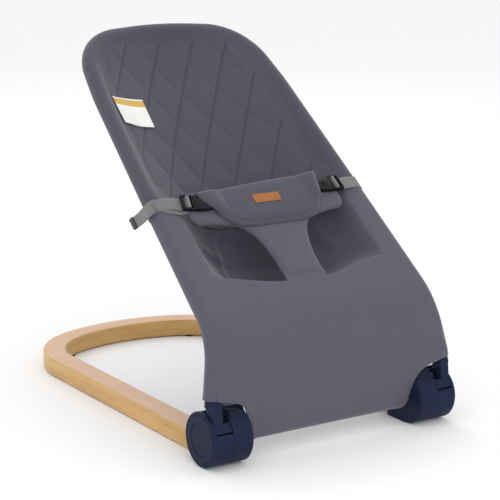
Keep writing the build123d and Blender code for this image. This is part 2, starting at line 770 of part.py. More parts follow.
def main():
    os.makedirs("parts", exist_ok=True)
    save(base_rail(), "base_rail")
    save(rear_feet(), "rear_feet")
    save_group(hinge_sole(), "hinge_soles")
    save_pair(hinge_case_inner(), "hinge_case_inner")
    save_pair(hinge_case_outer(), "hinge_case_outer")
    save_pair(hinge_cap(), "hinge_cap")
    save_group(axle_bolt(), "axle_bolts")
    save_group(threaded_insert(), "threaded_inserts")
    save_group(case_screws(), "case_screws")
    save_group(rail_screws(), "rail_screws")
    save(cross_tube(), "cross_tube")
    save_pair(release_trigger(), "release_trigger")
    save_pair(latch_spring(), "latch_spring")
    save_pair(latch_ring(), "latch_ring")
    save_pair(seat_arm(), "seat_arm")
    save(swept_tube(TUBE_R, TUBE_R - TUBE_WALL), "seat_tube")
    save(swept_tube(SLEEVE_R, TUBE_R + 0.15), "edge_sleeve")
    save(back_panel(), "back_panel")
    save(seat_sling(), "seat_sling")
    save(front_skirt(), "front_skirt")
    save_pair(side_strip(), "side_strip")
    save(crotch_stem(), "crotch_stem")
    save(waist_band(), "waist_band")
    save(restraint_flap(), "restraint_flap")
    save(leather_tag(), "leather_tag")
    save(care_label(), "care_label")
    save_pair(buckle_socket(), "buckle_socket")
    save_pair(buckle_plug(), "buckle_plug")
    save_pair(strap(), "strap")
    save(strap_tail(), "strap_tail")


main()
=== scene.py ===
import json
import math

import bmesh
import bpy
import numpy as np
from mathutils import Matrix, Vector


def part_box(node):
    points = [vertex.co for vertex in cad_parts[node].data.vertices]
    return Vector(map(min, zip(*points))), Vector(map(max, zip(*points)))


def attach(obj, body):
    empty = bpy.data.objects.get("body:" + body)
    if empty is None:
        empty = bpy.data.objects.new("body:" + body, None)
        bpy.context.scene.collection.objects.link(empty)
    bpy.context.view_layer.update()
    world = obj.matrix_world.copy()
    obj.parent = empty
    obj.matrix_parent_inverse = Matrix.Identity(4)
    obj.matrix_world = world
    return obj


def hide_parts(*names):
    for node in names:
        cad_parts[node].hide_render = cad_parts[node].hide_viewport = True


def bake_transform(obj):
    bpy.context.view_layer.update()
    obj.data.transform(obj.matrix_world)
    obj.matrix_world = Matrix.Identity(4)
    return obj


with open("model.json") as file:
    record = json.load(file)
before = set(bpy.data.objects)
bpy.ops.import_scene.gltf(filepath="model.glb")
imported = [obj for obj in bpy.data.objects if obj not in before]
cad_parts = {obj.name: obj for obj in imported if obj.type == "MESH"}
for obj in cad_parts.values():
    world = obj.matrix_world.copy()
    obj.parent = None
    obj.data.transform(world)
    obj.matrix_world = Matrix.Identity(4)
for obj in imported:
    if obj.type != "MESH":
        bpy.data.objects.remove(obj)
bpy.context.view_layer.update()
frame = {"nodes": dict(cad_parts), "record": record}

# Lengths below are in millimetres. They become metres where a mesh is made.
MM = 0.001
JOINTS = {joint["name"]: joint for joint in frame["record"]["behaviour"]["joints"]}
HINGE = np.array(JOINTS["recline"]["pos_m"]) / MM

# Seat tube, as in the CAD model: X, and s up the slope of the seat
SEAT_TILT = math.radians(38.0)
SEAT_ORIGIN = np.array((-81.4, 67.8))
SLOPE = np.array((math.cos(SEAT_TILT), math.sin(SEAT_TILT)))
SLOPE_OUT = np.array((-SLOPE[1], SLOPE[0]))
LEG_FOOT = np.array((184.5, -13.4, 55.5))
SIDE_POINTS = ((171.0, 103.0), (160.0, 345.0), (149.6, 535.0), (140.5, 604.0), (109.0, 650.0))
SIDE_RADII = (95.0, 900.0, 400.0, 90.0, 72.0)
TOP_S = 661.5
TOP_RADIUS = 500.0

# Cover
COVER_R = 11.6
HEM_R = 12.5
HEM_BEND = 60.0
HEM_WRAP = math.radians(420.0)
LEG_HEM_S = 19.5
SEAM_S = 318.0
HOLE_STEM = 32.0
HOLE_CORNER = 136.0
HOLE_LOW_S = 165.0
HOLE_CORNER_S = 184.0
FOLD_HALF = 134.0
FOLD_SOFT = (5.0, 22.0)
WALL_STEEP = (3.4, 2.0)
RIM_SEAM = 24.0
SHEET_T = 1.5
SLEEVE_T = 1.4
OUT_OF_BACK = (0, -0.6, 0.8)

# Quilting: a lattice of diamonds inside a border seam
QUILT_SLOPE = 0.57
QUILT_HALF = 28.5
QUILT_S = 552.0
QUILT_FAINT = 0.38
QUILT_TOP_S = 638.0
QUILT_INSET = 28.0
SEAM_HALF = 1.4
SEAM_SHADE = 0.38
NO_SEAM = 99.0
CLOTH_FRAMES = 20

# Folds in the seat: start, end, width and height of each
SEAT_CREASES = (
    ((-60, 300), (-78, 215), 5.0, 3.4), ((-92, 280), (-60, 262), 8.0, 2.6),
    ((-118, 262), (-104, 205), 6.0, 2.2), ((94, 296), (104, 232), 5.0, 3.2),
    ((104, 232), (78, 214), 6.0, 2.8), ((116, 300), (118, 236), 6.0, -1.8),
    ((-40, 200), (40, 204), 9.0, 2.0))

# Restraint, straps, tag and label
STRAP_S = 318.0
STRAP_W = 20.0
STRAP_T = 1.3
FLAP_SWELL = 1.9
FLAP_STITCH_UP = 1.3
TAG_S = 302.0
TAG_SIZE = (43.0, 15.5, 1.1)
LABEL_X = (-134.0, -76.0)
LABEL_S = (485.5, 535.5)
LABEL_SKEW = 0.12
LABEL_BAND = (13.5, 2.5)


def unit(v):
    return v / np.linalg.norm(v)


def unit_rows(v):
    return v / np.linalg.norm(v, axis=1)[:, None]


def headings(path):
    """Direction of travel at each point of a line."""
    return unit_rows(np.gradient(path, axis=0))


def lengths(path):
    return np.concatenate(([0.0], np.cumsum(np.linalg.norm(np.diff(path, axis=0), axis=1))))


def interp_rows(at, along, rows):
    return np.stack([np.interp(at, along, column) for column in rows.T], axis=1)


def resample(path, count):
    """The same line with count points, evenly spaced along it."""
    along = lengths(path)
    return interp_rows(np.linspace(0, along[-1], count), along, path)


def mirrored(path):
    return path * (-1, 1)


def half_turns(start, end, count):
    """Cosines and sines of evenly spaced angles, given in degrees."""
    angles = np.radians(np.linspace(start, end, count))
    return np.cos(angles), np.sin(angles)


def rounded_path(points, radii, step=2.0):
    """Line through points whose corners are arcs of the given radii."""
    points = [np.array(p, float) for p in points]
    path = [points[0]]
    for before, corner, after, radius in zip(points, points[1:], points[2:], radii):
        a, b = unit(before - corner), unit(after - corner)
        half = math.acos(np.clip(a @ b, -1, 1)) / 2
        centre = corner + unit(a + b) * radius / math.sin(half)
        start = corner + a * radius / math.tan(half) - centre
        end = corner + b * radius / math.tan(half) - centre
        turn = math.pi - 2 * half
        count = max(2, int(turn * radius / step))
        for f in np.linspace(0, 1, count + 1):
            swung = start * math.sin((1 - f) * turn) + end * math.sin(f * turn)
            path.append(centre + swung / math.sin(turn))
    path.append(points[-1])
    path = np.array(path)
    return resample(path, int(lengths(path)[-1] / step) + 1)


def smooth_table(points, blur):
    """Function through (place, value) points, with its corners rounded over the length blur."""
    places, values = np.array(points, float).T
    fine = np.arange(places[0], places[-1] + 1.0)
    near = np.arange(-3 * blur, 3 * blur + 1)
    weights = np.exp(-((near / blur) ** 2))
    padded = np.interp(np.arange(fine[0] + near[0], fine[-1] + near[-1] + 1), places, values)
    rounded = np.convolve(padded, weights / weights.sum(), "valid")
    return lambda at: np.interp(at, fine, rounded[: len(fine)])


def smoothstep(x):
    x = np.clip(x, 0, 1)
    return x * x * (3 - 2 * x)


def seat_yz(s):
    """Y and Z from the hinge of a point on the tube's centre plane, s up the slope."""
    return SEAT_ORIGIN + s * SLOPE


def tube_line():
    """Centre line of the right half of the seat tube, from the hinge, with X, Y and Z."""
    points = [LEG_FOOT] + [np.array((x, *seat_yz(s))) for x, s in SIDE_POINTS]
    return rounded_path(points, SIDE_RADII[:-1])


def outline():
    """The tube's centre line over the back, left to right, as X and s."""
    right = list(SIDE_POINTS)
    left = [(-x, s) for x, s in right]
    radii = list(SIDE_RADII[1:]) + [TOP_RADIUS] + list(reversed(SIDE_RADII[1:]))
    return rounded_path(left + [(0.0, TOP_S)] + right[::-1], radii, 1.0)


def crossing(p, u, q, v):
    """Where the line through p along u meets the line through q along v."""
    return p + u * np.linalg.solve(np.stack((u, -v), axis=1), q - p)[0]


def cover_profile():
    """Side view of the cover's outer surface: round the cross tube, up the legs, over the knee."""
    foot, knee = LEG_FOOT[1:], seat_yz(SIDE_POINTS[0][1])
    leg = unit(knee - foot)
    low = foot + np.array((-leg[1], leg[0])) * COVER_R
    corner = crossing(low, leg, knee + SLOPE_OUT * COVER_R, SLOPE)
    touch = math.atan2(low[1], low[0]) + math.acos(HEM_R / np.linalg.norm(low))
    around = [HEM_R * np.array((math.cos(a), math.sin(a))) for a in np.linspace(HEM_WRAP, touch, 40)]
    far_s = TOP_S + 60.0
    far = seat_yz(far_s) + SLOPE_OUT * COVER_R
    rise = rounded_path([around[-1], low, corner, far], [HEM_BEND, SIDE_RADII[0] + COVER_R], 1.0)
    path = np.concatenate((around[:-1], rise))
    path = resample(path, int(lengths(path)[-1]))
    along = headings(path)
    reach = lengths(path)
    return reach - reach[-1] + far_s, path, np.stack((-along[:, 1], along[:, 0]), axis=1)


PROFILE_S, PROFILE, PROFILE_OUT = cover_profile()
TUBE = tube_line()
OUTLINE = outline()


def place(x, s, height):
    """Points in the row frame: X, s up the cover, and height over the tube's centre plane."""
    x, s, height = np.broadcast_arrays(x, s, height)
    out = np.empty(x.shape + (3,))
    out[..., 0] = x
    for k in (0, 1):
        normal = np.interp(s, PROFILE_S, PROFILE_OUT[:, k])
        out[..., k + 1] = HINGE[k + 1] + np.interp(s, PROFILE_S, PROFILE[:, k]) + (height - COVER_R) * normal
    return out


def lay(flat, height):
    """The same for a grid of (x, s)."""
    return place(flat[..., 0], flat[..., 1], height)


def tube_half(s):
    """Half the spacing of the tube's centre line at s, below the top corners."""
    level = np.interp(s, PROFILE_S, PROFILE[:, 1] - COVER_R * PROFILE_OUT[:, 1])
    return np.interp(level, TUBE[:, 2], TUBE[:, 0])


def hole_edge(x):
    """s of the leg holes' lower edge."""
    share = smoothstep((np.abs(x) - HOLE_STEM) / (HOLE_CORNER - HOLE_STEM))
    return HOLE_LOW_S + (HOLE_CORNER_S - HOLE_LOW_S) * share


def fold_half(s):
    """Half width of the hollow: the fold beside the leg holes, widening to the tube up the back."""
    low = FOLD_HALF + 2.0 * smoothstep((238 - s) / 54)
    return low + (tube_half(s) - low) * smoothstep((s - 285) / 115)


DEPTH = smooth_table(
    ((150, 0), (166, 6), (180, 36), (195, 55), (215, 68), (245, 76), (290, 75), (334, 69), (409, 64),
     (457, 57), (504, 49), (554, 43), (600, 39), (680, 34)), 8)


def cover_height(x, s, edge):
    """Height of the sitting surface. edge is the distance inside the tube's centre line."""
    fold = fold_half(s)
    inside = fold - np.abs(x)
    soft = FOLD_SOFT[0] + (FOLD_SOFT[1] - FOLD_SOFT[0]) * smoothstep((s - 290) / 90)
    share = np.clip((inside + np.sqrt(inside ** 2 + soft ** 2)) / 2 / fold, 0, 1)
    steep = WALL_STEEP[0] + (WALL_STEEP[1] - WALL_STEEP[0]) * smoothstep((s - 250) / 120)
    bowl = (1 - (1 - share) ** steep) * (1 - np.exp(-(np.clip(edge, 0, None) / 10) ** 2))
    top = TOP_S - x ** 2 / (2 * TOP_RADIUS) - s
    bowl = bowl * (1 - np.exp(-np.clip(top, 0, None) / 45))
    lag = (hole_edge(x) - HOLE_LOW_S) * smoothstep((290 - s) / 60)
    return COVER_R - DEPTH(s - lag) * bowl


def distance_to(points, line):
    """Distance of each point (x, s) to the nearest point of a finely divided line."""
    flat = points.reshape(-1, 2)
    best = np.full(len(flat), 1e9)
    for start in range(0, len(line), 40):
        gap = flat[:, None, :] - line[None, start:start + 40, :]
        best = np.minimum(best, np.sqrt((gap ** 2).sum(axis=2)).min(axis=1))
    return best.reshape(points.shape[:-1])


def coons(bottom, top, left, right):
    """Grid of points between four border lines. Rows go from bottom to top."""
    u = np.linspace(0, 1, len(bottom))[None, :, None]
    v = np.linspace(0, 1, len(left))[:, None, None]
    across = (1 - v) * bottom[None] + v * top[None]
    up = (1 - u) * left[:, None] + u * right[:, None]
    low = (1 - u) * bottom[0] + u * bottom[-1]
    high = (1 - u) * top[0] + u * top[-1]
    return across + up - (1 - v) * low - v * high


class Cloth:
    """A surface gathered from grids that share their borders, then given its thickness."""

    def __init__(self):
        self.points, self.cloth, self.thick, self.faces = [], [], [], []

    def grid(self, points, flat, thick, line=NO_SEAM):
        """points in millimetres; flat is (x, s) on the cloth; line is the distance to a seam."""
        rows, columns = points.shape[:2]
        first = sum(len(p) for p in self.points)
        self.points.append(points.reshape(-1, 3))
        third = np.broadcast_to(line, (rows, columns))
        self.cloth.append(np.concatenate((flat, third[..., None]), axis=2).reshape(-1, 3))
        self.thick.append(np.broadcast_to(thick, (rows, columns)).reshape(-1))
        index = first + np.arange(rows * columns).reshape(rows, columns)
        corners = (index[:-1, :-1], index[:-1, 1:], index[1:, 1:], index[1:, :-1])
        self.faces.append(np.stack([c.reshape(-1) for c in corners], axis=1))

    def make(self, name, toward, material):
        """Joined, thickened away from its outer side. toward is the first face's outward direction."""
        points = np.concatenate(self.points) * MM
        mesh = bpy.data.meshes.new(name)
        mesh.from_pydata(points.tolist(), [], np.concatenate(self.faces).tolist())
        add_attribute(mesh, "cloth", np.concatenate(self.cloth) * MM)
        add_attribute(mesh, "thick", np.concatenate(self.thick))
        work = bmesh.new()
        work.from_mesh(mesh)
        bmesh.ops.remove_doubles(work, verts=work.verts, dist=0.04 * MM)
        bmesh.ops.recalc_face_normals(work, faces=work.faces)
        work.faces.ensure_lookup_table()
        work.normal_update()
        if work.faces[0].normal.dot(Vector(toward)) < 0:
            bmesh.ops.reverse_faces(work, faces=work.faces)
        work.to_mesh(mesh)
        work.free()
        obj = add_object(name, mesh, material)
        return solidify(obj)


def add_object(name, mesh, material):
    for face in mesh.polygons:
        face.use_smooth = True
    obj = bpy.data.objects.new(name, mesh)
    bpy.context.scene.collection.objects.link(obj)
    mesh.materials.append(material)
    return obj


def add_attribute(mesh, name, values):
    """values holds one number or one vector for each vertex."""
    values = np.array(values, np.float32)
    kind, key = ("FLOAT_VECTOR", "vector") if values.ndim == 2 else ("FLOAT", "value")
    mesh.attributes.new(name, kind, "POINT").data.foreach_set(key, values.ravel())


def solidify(obj):
    values = attribute(obj, "thick")
    group = obj.vertex_groups.new(name="thickness")
    most = float(values.max())
    for level in np.unique(values.round(2)):
        chosen = np.nonzero(values.round(2) == level)[0].tolist()
        group.add(chosen, float(level) / most, "REPLACE")
    shell = obj.modifiers.new("thickness", "SOLIDIFY")
    shell.thickness = most * MM
    shell.offset = -1.0
    shell.vertex_group = group.name
    return apply_modifiers(obj)


def apply_modifiers(obj):
    shown = bpy.context.evaluated_depsgraph_get()
    shown.update()
    mesh = bpy.data.meshes.new_from_object(
        obj.evaluated_get(shown), preserve_all_data_layers=True, depsgraph=shown)
    obj.modifiers.clear()
    obj.vertex_groups.clear()
    obj.data = mesh
    return obj


def attribute(obj, name):
    layer = obj.data.attributes[name]
    if layer.data_type == "FLOAT":
        values = np.empty(len(layer.data), np.float32)
        layer.data.foreach_get("value", values)
        return values
    values = np.empty(len(layer.data) * 3, np.float32)
    layer.data.foreach_get("vector", values)
    return values.reshape(-1, 3) / MM


def positions(mesh):
    spots = np.empty(len(mesh.vertices) * 3)
    mesh.vertices.foreach_get("co", spots)
    return spots.reshape(-1, 3)


def inflate(obj, pinned, pressure, cap):
    """Cloth simulation of a padded shell: pressure inside, pinned where it is sewn down, and no
    point moving further than cap."""
    rest = positions(obj.data)
    group = obj.vertex_groups.new(name="sewn")
    for level in np.unique(pinned.round(1)):
        if level > 0:
            group.add(np.nonzero(pinned.round(1) == level)[0].tolist(), float(level), "REPLACE")
    cloth = obj.modifiers.new("padding", "CLOTH")
    settings = cloth.settings
    settings.quality = 4
    settings.mass = 0.15
    settings.vertex_group_mass = group.name
    settings.tension_stiffness = settings.compression_stiffness = 25
    settings.shear_stiffness = 10
    settings.bending_stiffness = 0.4
    settings.use_pressure = True
    settings.uniform_pressure_force = pressure
    settings.effector_weights.gravity = 0
    cloth.collision_settings.use_collision = False
    cloth.point_cache.frame_start = 1
    cloth.point_cache.frame_end = CLOTH_FRAMES
    scene = bpy.context.scene
    for number in range(1, CLOTH_FRAMES + 1):
        scene.frame_set(number)
    shown = bpy.context.evaluated_depsgraph_get()
    move = positions(obj.evaluated_get(shown).data) - rest
    far = np.linalg.norm(move, axis=1)[:, None]
    move *= np.minimum(1, cap * MM / np.maximum(far, 1e-9))
    obj.modifiers.clear()
    obj.vertex_groups.clear()
    scene.frame_set(1)
    obj.data.vertices.foreach_set("co", (rest + move).ravel())
    obj.data.update()
    return obj


# ---------------------------------------------------------------- materials

class Nodes:
    """A short way to write a material's node tree."""

    def __init__(self, name, colour, roughness, **inputs):
        self.material = bpy.data.materials.new(name)
        self.material.use_nodes = True
        self.tree = self.material.node_tree
        self.shader = self.tree.nodes["Principled BSDF"]
        self.shader.inputs["Base Color"].default_value = (*colour, 1.0)
        self.shader.inputs["Roughness"].default_value = roughness
        for key, value in inputs.items():
            self.shader.inputs[key.replace("_", " ")].default_value = value

    def node(self, kind, inputs=None, **settings):
        node = self.tree.nodes.new(kind)
        for key, value in settings.items():
            setattr(node, key, value)
        for key, value in (inputs or {}).items():
            if isinstance(value, bpy.types.NodeSocket):
                self.tree.links.new(value, node.inputs[key])
            else:
                node.inputs[key].default_value = value
        return node

    def math(self, kind, a, b=0.0, clamp=False):
        return self.node("ShaderNodeMath", {0: a, 1: b}, operation=kind, use_clamp=clamp).outputs[0]

    def where(self, attribute=None):
        """Coordinates in metres: the row frame's own, or the cloth's."""
        if attribute:
            return self.node("ShaderNodeAttribute", attribute_name=attribute).outputs["Vector"]
        return self.node("ShaderNodeTexCoord").outputs["Object"]

    def scaled(self, vector, scale, turn=(0, 0, 0)):
        return self.node("ShaderNodeMapping", {"Vector": vector, "Scale": scale, "Rotation": turn}).outputs[0]

    def noise(self, vector, scale, detail=3.0, roughness=0.55):
        made = self.node("ShaderNodeTexNoise", {"Vector": vector, "Scale": scale, "Detail": detail,
                                                "Roughness": roughness})
        return made.outputs["Fac"]

    def wave(self, vector, scale, direction="X", distortion=0.0):
        made = self.node("ShaderNodeTexWave", {"Vector": vector, "Scale": scale, "Distortion": distortion},
                         wave_type="BANDS", bands_direction=direction)
        return made.outputs["Fac"]

    def ramp(self, value, stops):
        ramp = self.node("ShaderNodeValToRGB", {"Fac": value})
        elements = ramp.color_ramp.elements
        while len(elements) < len(stops):
            elements.new(0.5)
        for element, (at, colour) in zip(elements, stops):
            element.position = at
            element.color = (*colour, 1.0)
        return ramp.outputs["Color"]

    def sum(self, a, share_a, b, share_b):
        return self.math("ADD", self.math("MULTIPLY", a, share_a), self.math("MULTIPLY", b, share_b))

    def mixed(self, share, low, high):
        mix = self.node("ShaderNodeMix", {"Factor": share, "A": low, "B": high}, data_type="RGBA")
        return mix.outputs["Result"]

    def colour(self, socket):
        self.tree.links.new(socket, self.shader.inputs["Base Color"])

    def rough(self, value, low, high):
        made = self.node("ShaderNodeMapRange", {"Value": value, "To Min": low, "To Max": high})
        self.tree.links.new(made.outputs[0], self.shader.inputs["Roughness"])

    def bump(self, height, strength, distance):
        last = getattr(self, "last_bump", None)
        inputs = {"Height": height, "Strength": strength, "Distance": distance * MM}
        if last:
            inputs["Normal"] = last
        self.last_bump = self.node("ShaderNodeBump", inputs).outputs[0]
        self.tree.links.new(self.last_bump, self.shader.inputs["Normal"])


def shades(colour, spread):
    return [(0.0, tuple(c * (1 - spread) for c in colour)), (1.0, tuple(c * (1 + spread) for c in colour))]


def fabric(name, colour, seams=False):
    """Fine plain weave that follows the cloth, with slight unevenness and a soft sheen; with seams, painted
    shade darkens the colour along the quilting seams.
    """
    n = Nodes(name, colour, 0.9, Sheen_Weight=0.25, Sheen_Roughness=0.5, Specular_IOR_Level=0.25)
    cloth = n.where("cloth")
    uneven = n.noise(cloth, 34, 5.0, 0.62)
    warp = n.wave(cloth, 480, "X", 0.6)
    weft = n.wave(cloth, 480, "Y", 0.6)
    slub = n.noise(n.scaled(cloth, (1, 0.12, 1)), 900, 2.0)
    weave = n.math("ADD", n.math("MULTIPLY", warp, weft), n.math("MULTIPLY", slub, 0.5))
    tint = n.ramp(n.sum(uneven, 0.65, weave, 0.22), shades(colour, 0.13))
    if seams:
        # painted shade: within SEAM_HALF of a quilting seam the colour darkens towards SEAM_SHADE times the
        # cloth colour, for the shade in the seam's groove
        apart = n.node("ShaderNodeSeparateXYZ", {0: cloth}).outputs[2]
        near = n.math("SUBTRACT", 1.0, n.math("MULTIPLY", apart, 1 / (SEAM_HALF * MM)), True)
        tint = n.mixed(near, tint, (*(c * SEAM_SHADE for c in colour), 1))
    n.colour(tint)
    n.rough(uneven, 0.82, 0.96)
    n.bump(weave, 0.22, 0.25)
    n.bump(n.noise(cloth, 120, 3.0), 0.12, 0.6)
    return n.material


def webbing_material():
    """Ribbed polyester webbing with a fine cross weave."""
    colour = (0.145, 0.15, 0.145)
    n = Nodes("webbing", colour, 0.75, Sheen_Weight=0.3, Specular_IOR_Level=0.3)
    cloth = n.where("cloth")
    rib = n.wave(cloth, 330, "Y")
    cross = n.wave(cloth, 620, "X", 1.0)
    weave = n.math("ADD", rib, n.math("MULTIPLY", cross, 0.45))
    n.colour(n.ramp(n.math("MULTIPLY", weave, 0.7), shades(colour, 0.3)))
    n.rough(weave, 0.6, 0.85)
    n.bump(weave, 0.5, 0.3)
    return n.material


def plastic(name, colour, roughness, specular=0.5):
    """Moulded plastic: fine spark-eroded grain, small tone changes and faint scuffs."""
    n = Nodes(name, colour, roughness, Specular_IOR_Level=specular)
    here = n.where()
    fine = n.noise(here, 2600.0, 2.0, 0.5)
    broad = n.noise(here, 22, 4.0, 0.6)
    n.colour(n.ramp(broad, shades(colour, 0.16)))
    scuff = n.noise(n.scaled(here, (1.0, 0.25, 1.0), (0.4, 0.2, 0.9)), 260, 6.0, 0.75)
    n.rough(n.sum(broad, 0.5, scuff, 0.5), roughness - 0.07, roughness + 0.11)
    n.bump(fine, 0.12, 0.08)
    return n.material


def metal(name, colour, roughness, metallic=1.0):
    n = Nodes(name, colour, roughness, Metallic=metallic)
    here = n.where()
    turned = n.noise(n.scaled(here, (0.05, 1, 1)), 900, 3.0)
    n.colour(n.ramp(n.noise(here, 60), shades(colour, 0.1)))
    n.rough(turned, roughness - 0.08, roughness + 0.12)
    n.bump(turned, 0.08, 0.1)
    return n.material


def rubber():
    colour = (0.03, 0.03, 0.032)
    n = Nodes("rubber", colour, 0.85, Specular_IOR_Level=0.3)
    n.colour(n.ramp(n.noise(n.where(), 90), shades(colour, 0.25)))
    n.bump(n.noise(n.where(), 1800, 2.0), 0.25, 0.15)
    return n.material


def wood():
    """Bent laminated birch: upright veneers seen on the top, long fine grain, satin lacquer."""
    n = Nodes("wood", (0.6, 0.4, 0.2), 0.42, Coat_Weight=0.2, Coat_Roughness=0.35)
    lay = n.where("cloth")
    side = n.node("ShaderNodeAttribute", attribute_name="side").outputs["Fac"]
    fibre = n.noise(n.scaled(lay, (1, 0.03, 1)), 700, 5.0, 0.6)
    figure = n.noise(n.scaled(lay, (1, 0.07, 1)), 60, 4.0, 0.6)
    board = n.ramp(n.sum(fibre, 0.5, figure, 0.5), [
        (0.35, (0.40, 0.215, 0.06)), (0.5, (0.56, 0.33, 0.105)), (0.68, (0.65, 0.41, 0.16))])
    ply = n.node("ShaderNodeTexWave", {"Vector": n.scaled(lay, (1, 0.003, 0)), "Scale": 140.0,
                                       "Distortion": 0.6, "Detail": 1.0},
                 wave_type="BANDS", bands_direction="X").outputs["Fac"]
    edge = n.ramp(n.sum(ply, 0.35, fibre, 0.65), [
        (0.25, (0.50, 0.27, 0.14)), (0.55, (0.66, 0.385, 0.22)), (0.8, (0.73, 0.46, 0.29))])
    n.colour(n.mixed(side, edge, board))
    n.rough(figure, 0.36, 0.52)
    n.bump(fibre, 0.12, 0.15)
    return n.material


def leather():
    """Tan leather with fine grain and broad tone changes."""
    colour = (0.33, 0.122, 0.029)
    n = Nodes("leather", colour, 0.55, Specular_IOR_Level=0.4)
    here = n.where()
    cells = n.node("ShaderNodeTexVoronoi", {"Vector": here, "Scale": 1500.0}).outputs["Distance"]
    broad = n.noise(here, 160, 4.0)
    n.colour(n.ramp(broad, [(0.3, (0.26, 0.09, 0.02)), (0.6, colour), (0.85, (0.4, 0.165, 0.05))]))
    n.rough(broad, 0.45, 0.7)
    n.bump(cells, 0.3, 0.2)
    return n.material


def label_material():
    """Plain white satin ribbon with a plain ochre band along its top."""
    n = Nodes("label", (0.8, 0.8, 0.78), 0.5, Sheen_Weight=0.2)
    cloth = n.where("cloth")
    up = n.node("ShaderNodeSeparateXYZ", {0: cloth}).outputs[1]
    low, high = ((LABEL_S[1] - down) * MM for down in LABEL_BAND)
    band = n.math("MULTIPLY", n.math("GREATER_THAN", up, low), n.math("LESS_THAN", up, high))
    satin = n.ramp(n.noise(cloth, 90), [(0.0, (0.74, 0.74, 0.72)), (1.0, (0.86, 0.86, 0.84))])
    n.colour(n.mixed(band, satin, (0.62, 0.36, 0.05, 1)))
    n.bump(n.wave(cloth, 900, "Y"), 0.15, 0.1)
    return n.material


# The look of each material slot in the record, then of the pieces that have their own
LOOKS = {
    "fabric": fabric("fabric", (0.078, 0.078, 0.105)),
    # quilted_fabric is the same cloth as fabric, painted darker: painted shade for the back, which gets less
    # light than the skirt
    "quilted_fabric": fabric("quilted_fabric", (0.063, 0.062, 0.086), seams=True),
    # inner_fabric is the same cloth painted darker and more purple: painted shade for the inside of the seat
    # pocket
    "inner_fabric": fabric("inner_fabric", (0.06, 0.058, 0.086)),
    "webbing": webbing_material(),
    "hinge_plastic": plastic("hinge_plastic", (0.0105, 0.015, 0.041), 0.46, 0.1),
    "trigger_plastic": plastic("trigger_plastic", (0.0085, 0.012, 0.033), 0.42, 0.12),
    "ring_plastic": plastic("ring_plastic", (0.03, 0.03, 0.03), 0.3),
    "buckle_plastic": plastic("buckle_plastic", (0.004, 0.004, 0.0045), 0.2, 0.22),
    "steel": metal("steel", (0.55, 0.55, 0.56), 0.35),
    "brass": metal("brass", (0.7, 0.5, 0.2), 0.35),
    "tube_steel": metal("tube_steel", (0.05, 0.05, 0.055), 0.5, 0.0),
    "rubber": rubber(),
    "wood": wood(),
    "leather": leather(),
    "label": label_material(),
}
# the flap's cloth is painted darker than the skirt's: painted shade for the flap, which gets less light than
# the skirt
FLAP = fabric("flap_fabric_painted_shade", (0.058, 0.058, 0.08))
THREAD = fabric("thread", (0.045, 0.044, 0.058))
TAIL_END = fabric("tail_end", (0.022, 0.022, 0.024))
DARK_STEEL = metal("dark_steel", (0.03, 0.03, 0.035), 0.4)


def finish_cad_parts():
    """Every CAD part that is still shown gets its own finished material."""
    dark = ("case_screws", "rail_screws")
    for part in frame["record"]["subparts"]:
        name = part["node"]
        for spot in frame["nodes"][name].material_slots:
            spot.material = DARK_STEEL if name in dark else LOOKS[part["material_slot"]]


# ---------------------------------------------------------------- cover

# The sleeve's section: round the tube from its top to its back, then inward to the seam
SLEEVE_ROUND = half_turns(90, -90, 15)
SLEEVE_STEPS = np.linspace(0, 1, 6)[1:]


def rim(cloth, boundary, height, side):
    """Sleeve round the tube from its top, outside and back to a seam under the cloth.
    boundary is s along one side; height gives the cloth's height at x and s."""
    half = tube_half(boundary)[:, None]
    x_round = half + COVER_R * SLEEVE_ROUND[0]
    h_round = np.broadcast_to(COVER_R * SLEEVE_ROUND[1], x_round.shape)
    x_back = half - RIM_SEAM * SLEEVE_STEPS
    seam_height = height(x_back[:, -1:], boundary[:, None]) - 2.5
    h_back = -COVER_R + (seam_height + COVER_R) * smoothstep(SLEEVE_STEPS)[None] ** 1.3
    x = np.concatenate((x_round, x_back), axis=1)
    s = np.repeat(boundary[:, None], x.shape[1], axis=1)
    h = np.concatenate((h_round, h_back), axis=1)
    girth = np.arange(x.shape[1]) * 2.6
    flat = np.stack((x * 0 + side * (half + girth), s), axis=2)
    cloth.grid(place(side * x, s, h), flat, SLEEVE_T)


def hem_line():
    """Right half of the skirt's lower edge as (x, s), from the leg in to the middle."""
    arch = np.array(((tube_half(LEG_HEM_S), LEG_HEM_S), (172, 16.4), (157, 12.6), (147, 9.3), (139.5, 2.3),
                     (134.2, -9), (131.2, -21), (128, -36), (123.5, -50), (122, -68), (121.5, -88.5)), float)
    return rounded_path(arch, [25] * (len(arch) - 2), 1.0)


def skirt_columns():
    """(x, s) of the skirt's upper and lower borders, column by column, left to right."""
    arch = hem_line()
    along = lengths(arch)
    shoulder = along[np.argmin(np.abs(arch[:, 0] - 137.0))]
    strip = np.linspace(0, 1, 13)
    middle = np.linspace(0, 1, 21)[1:]
    hole = np.linspace(0, 1, 27)[1:]
    stem = np.sin(np.linspace(1, 0, 15)[1:] * math.pi / 2)
    rim_s = HOLE_CORNER_S + 7.0
    rim_x = float(tube_half(rim_s))
    upper_x = np.concatenate((rim_x + (HOLE_CORNER - rim_x) * strip, HOLE_CORNER - 34.0 * middle,
                              102.0 + (HOLE_STEM - 102.0) * hole, HOLE_STEM * stem))
    upper_s = hole_edge(upper_x)
    upper_s[:13] = rim_s + (HOLE_CORNER_S - rim_s) * smoothstep(strip)
    low_at = np.concatenate((shoulder * strip, shoulder + (along[-1] - shoulder) * middle))
    low_x = np.concatenate((np.interp(low_at, along, arch[:, 0]),
                            arch[-1, 0] + (HOLE_STEM + 6 - arch[-1, 0]) * hole, (HOLE_STEM + 6) * stem))
    low_s = np.concatenate((np.interp(low_at, along, arch[:, 1]),
                            np.full(len(hole) + len(stem), arch[-1, 1])))
    counts = {"strip": len(strip), "hole": len(middle) + len(hole)}

    def whole(x, s):
        right = np.stack((x, s), axis=1)
        return np.concatenate((mirrored(right[:-1]), right[::-1]))

    return whole(upper_x, upper_s), whole(low_x, low_s), counts, arch


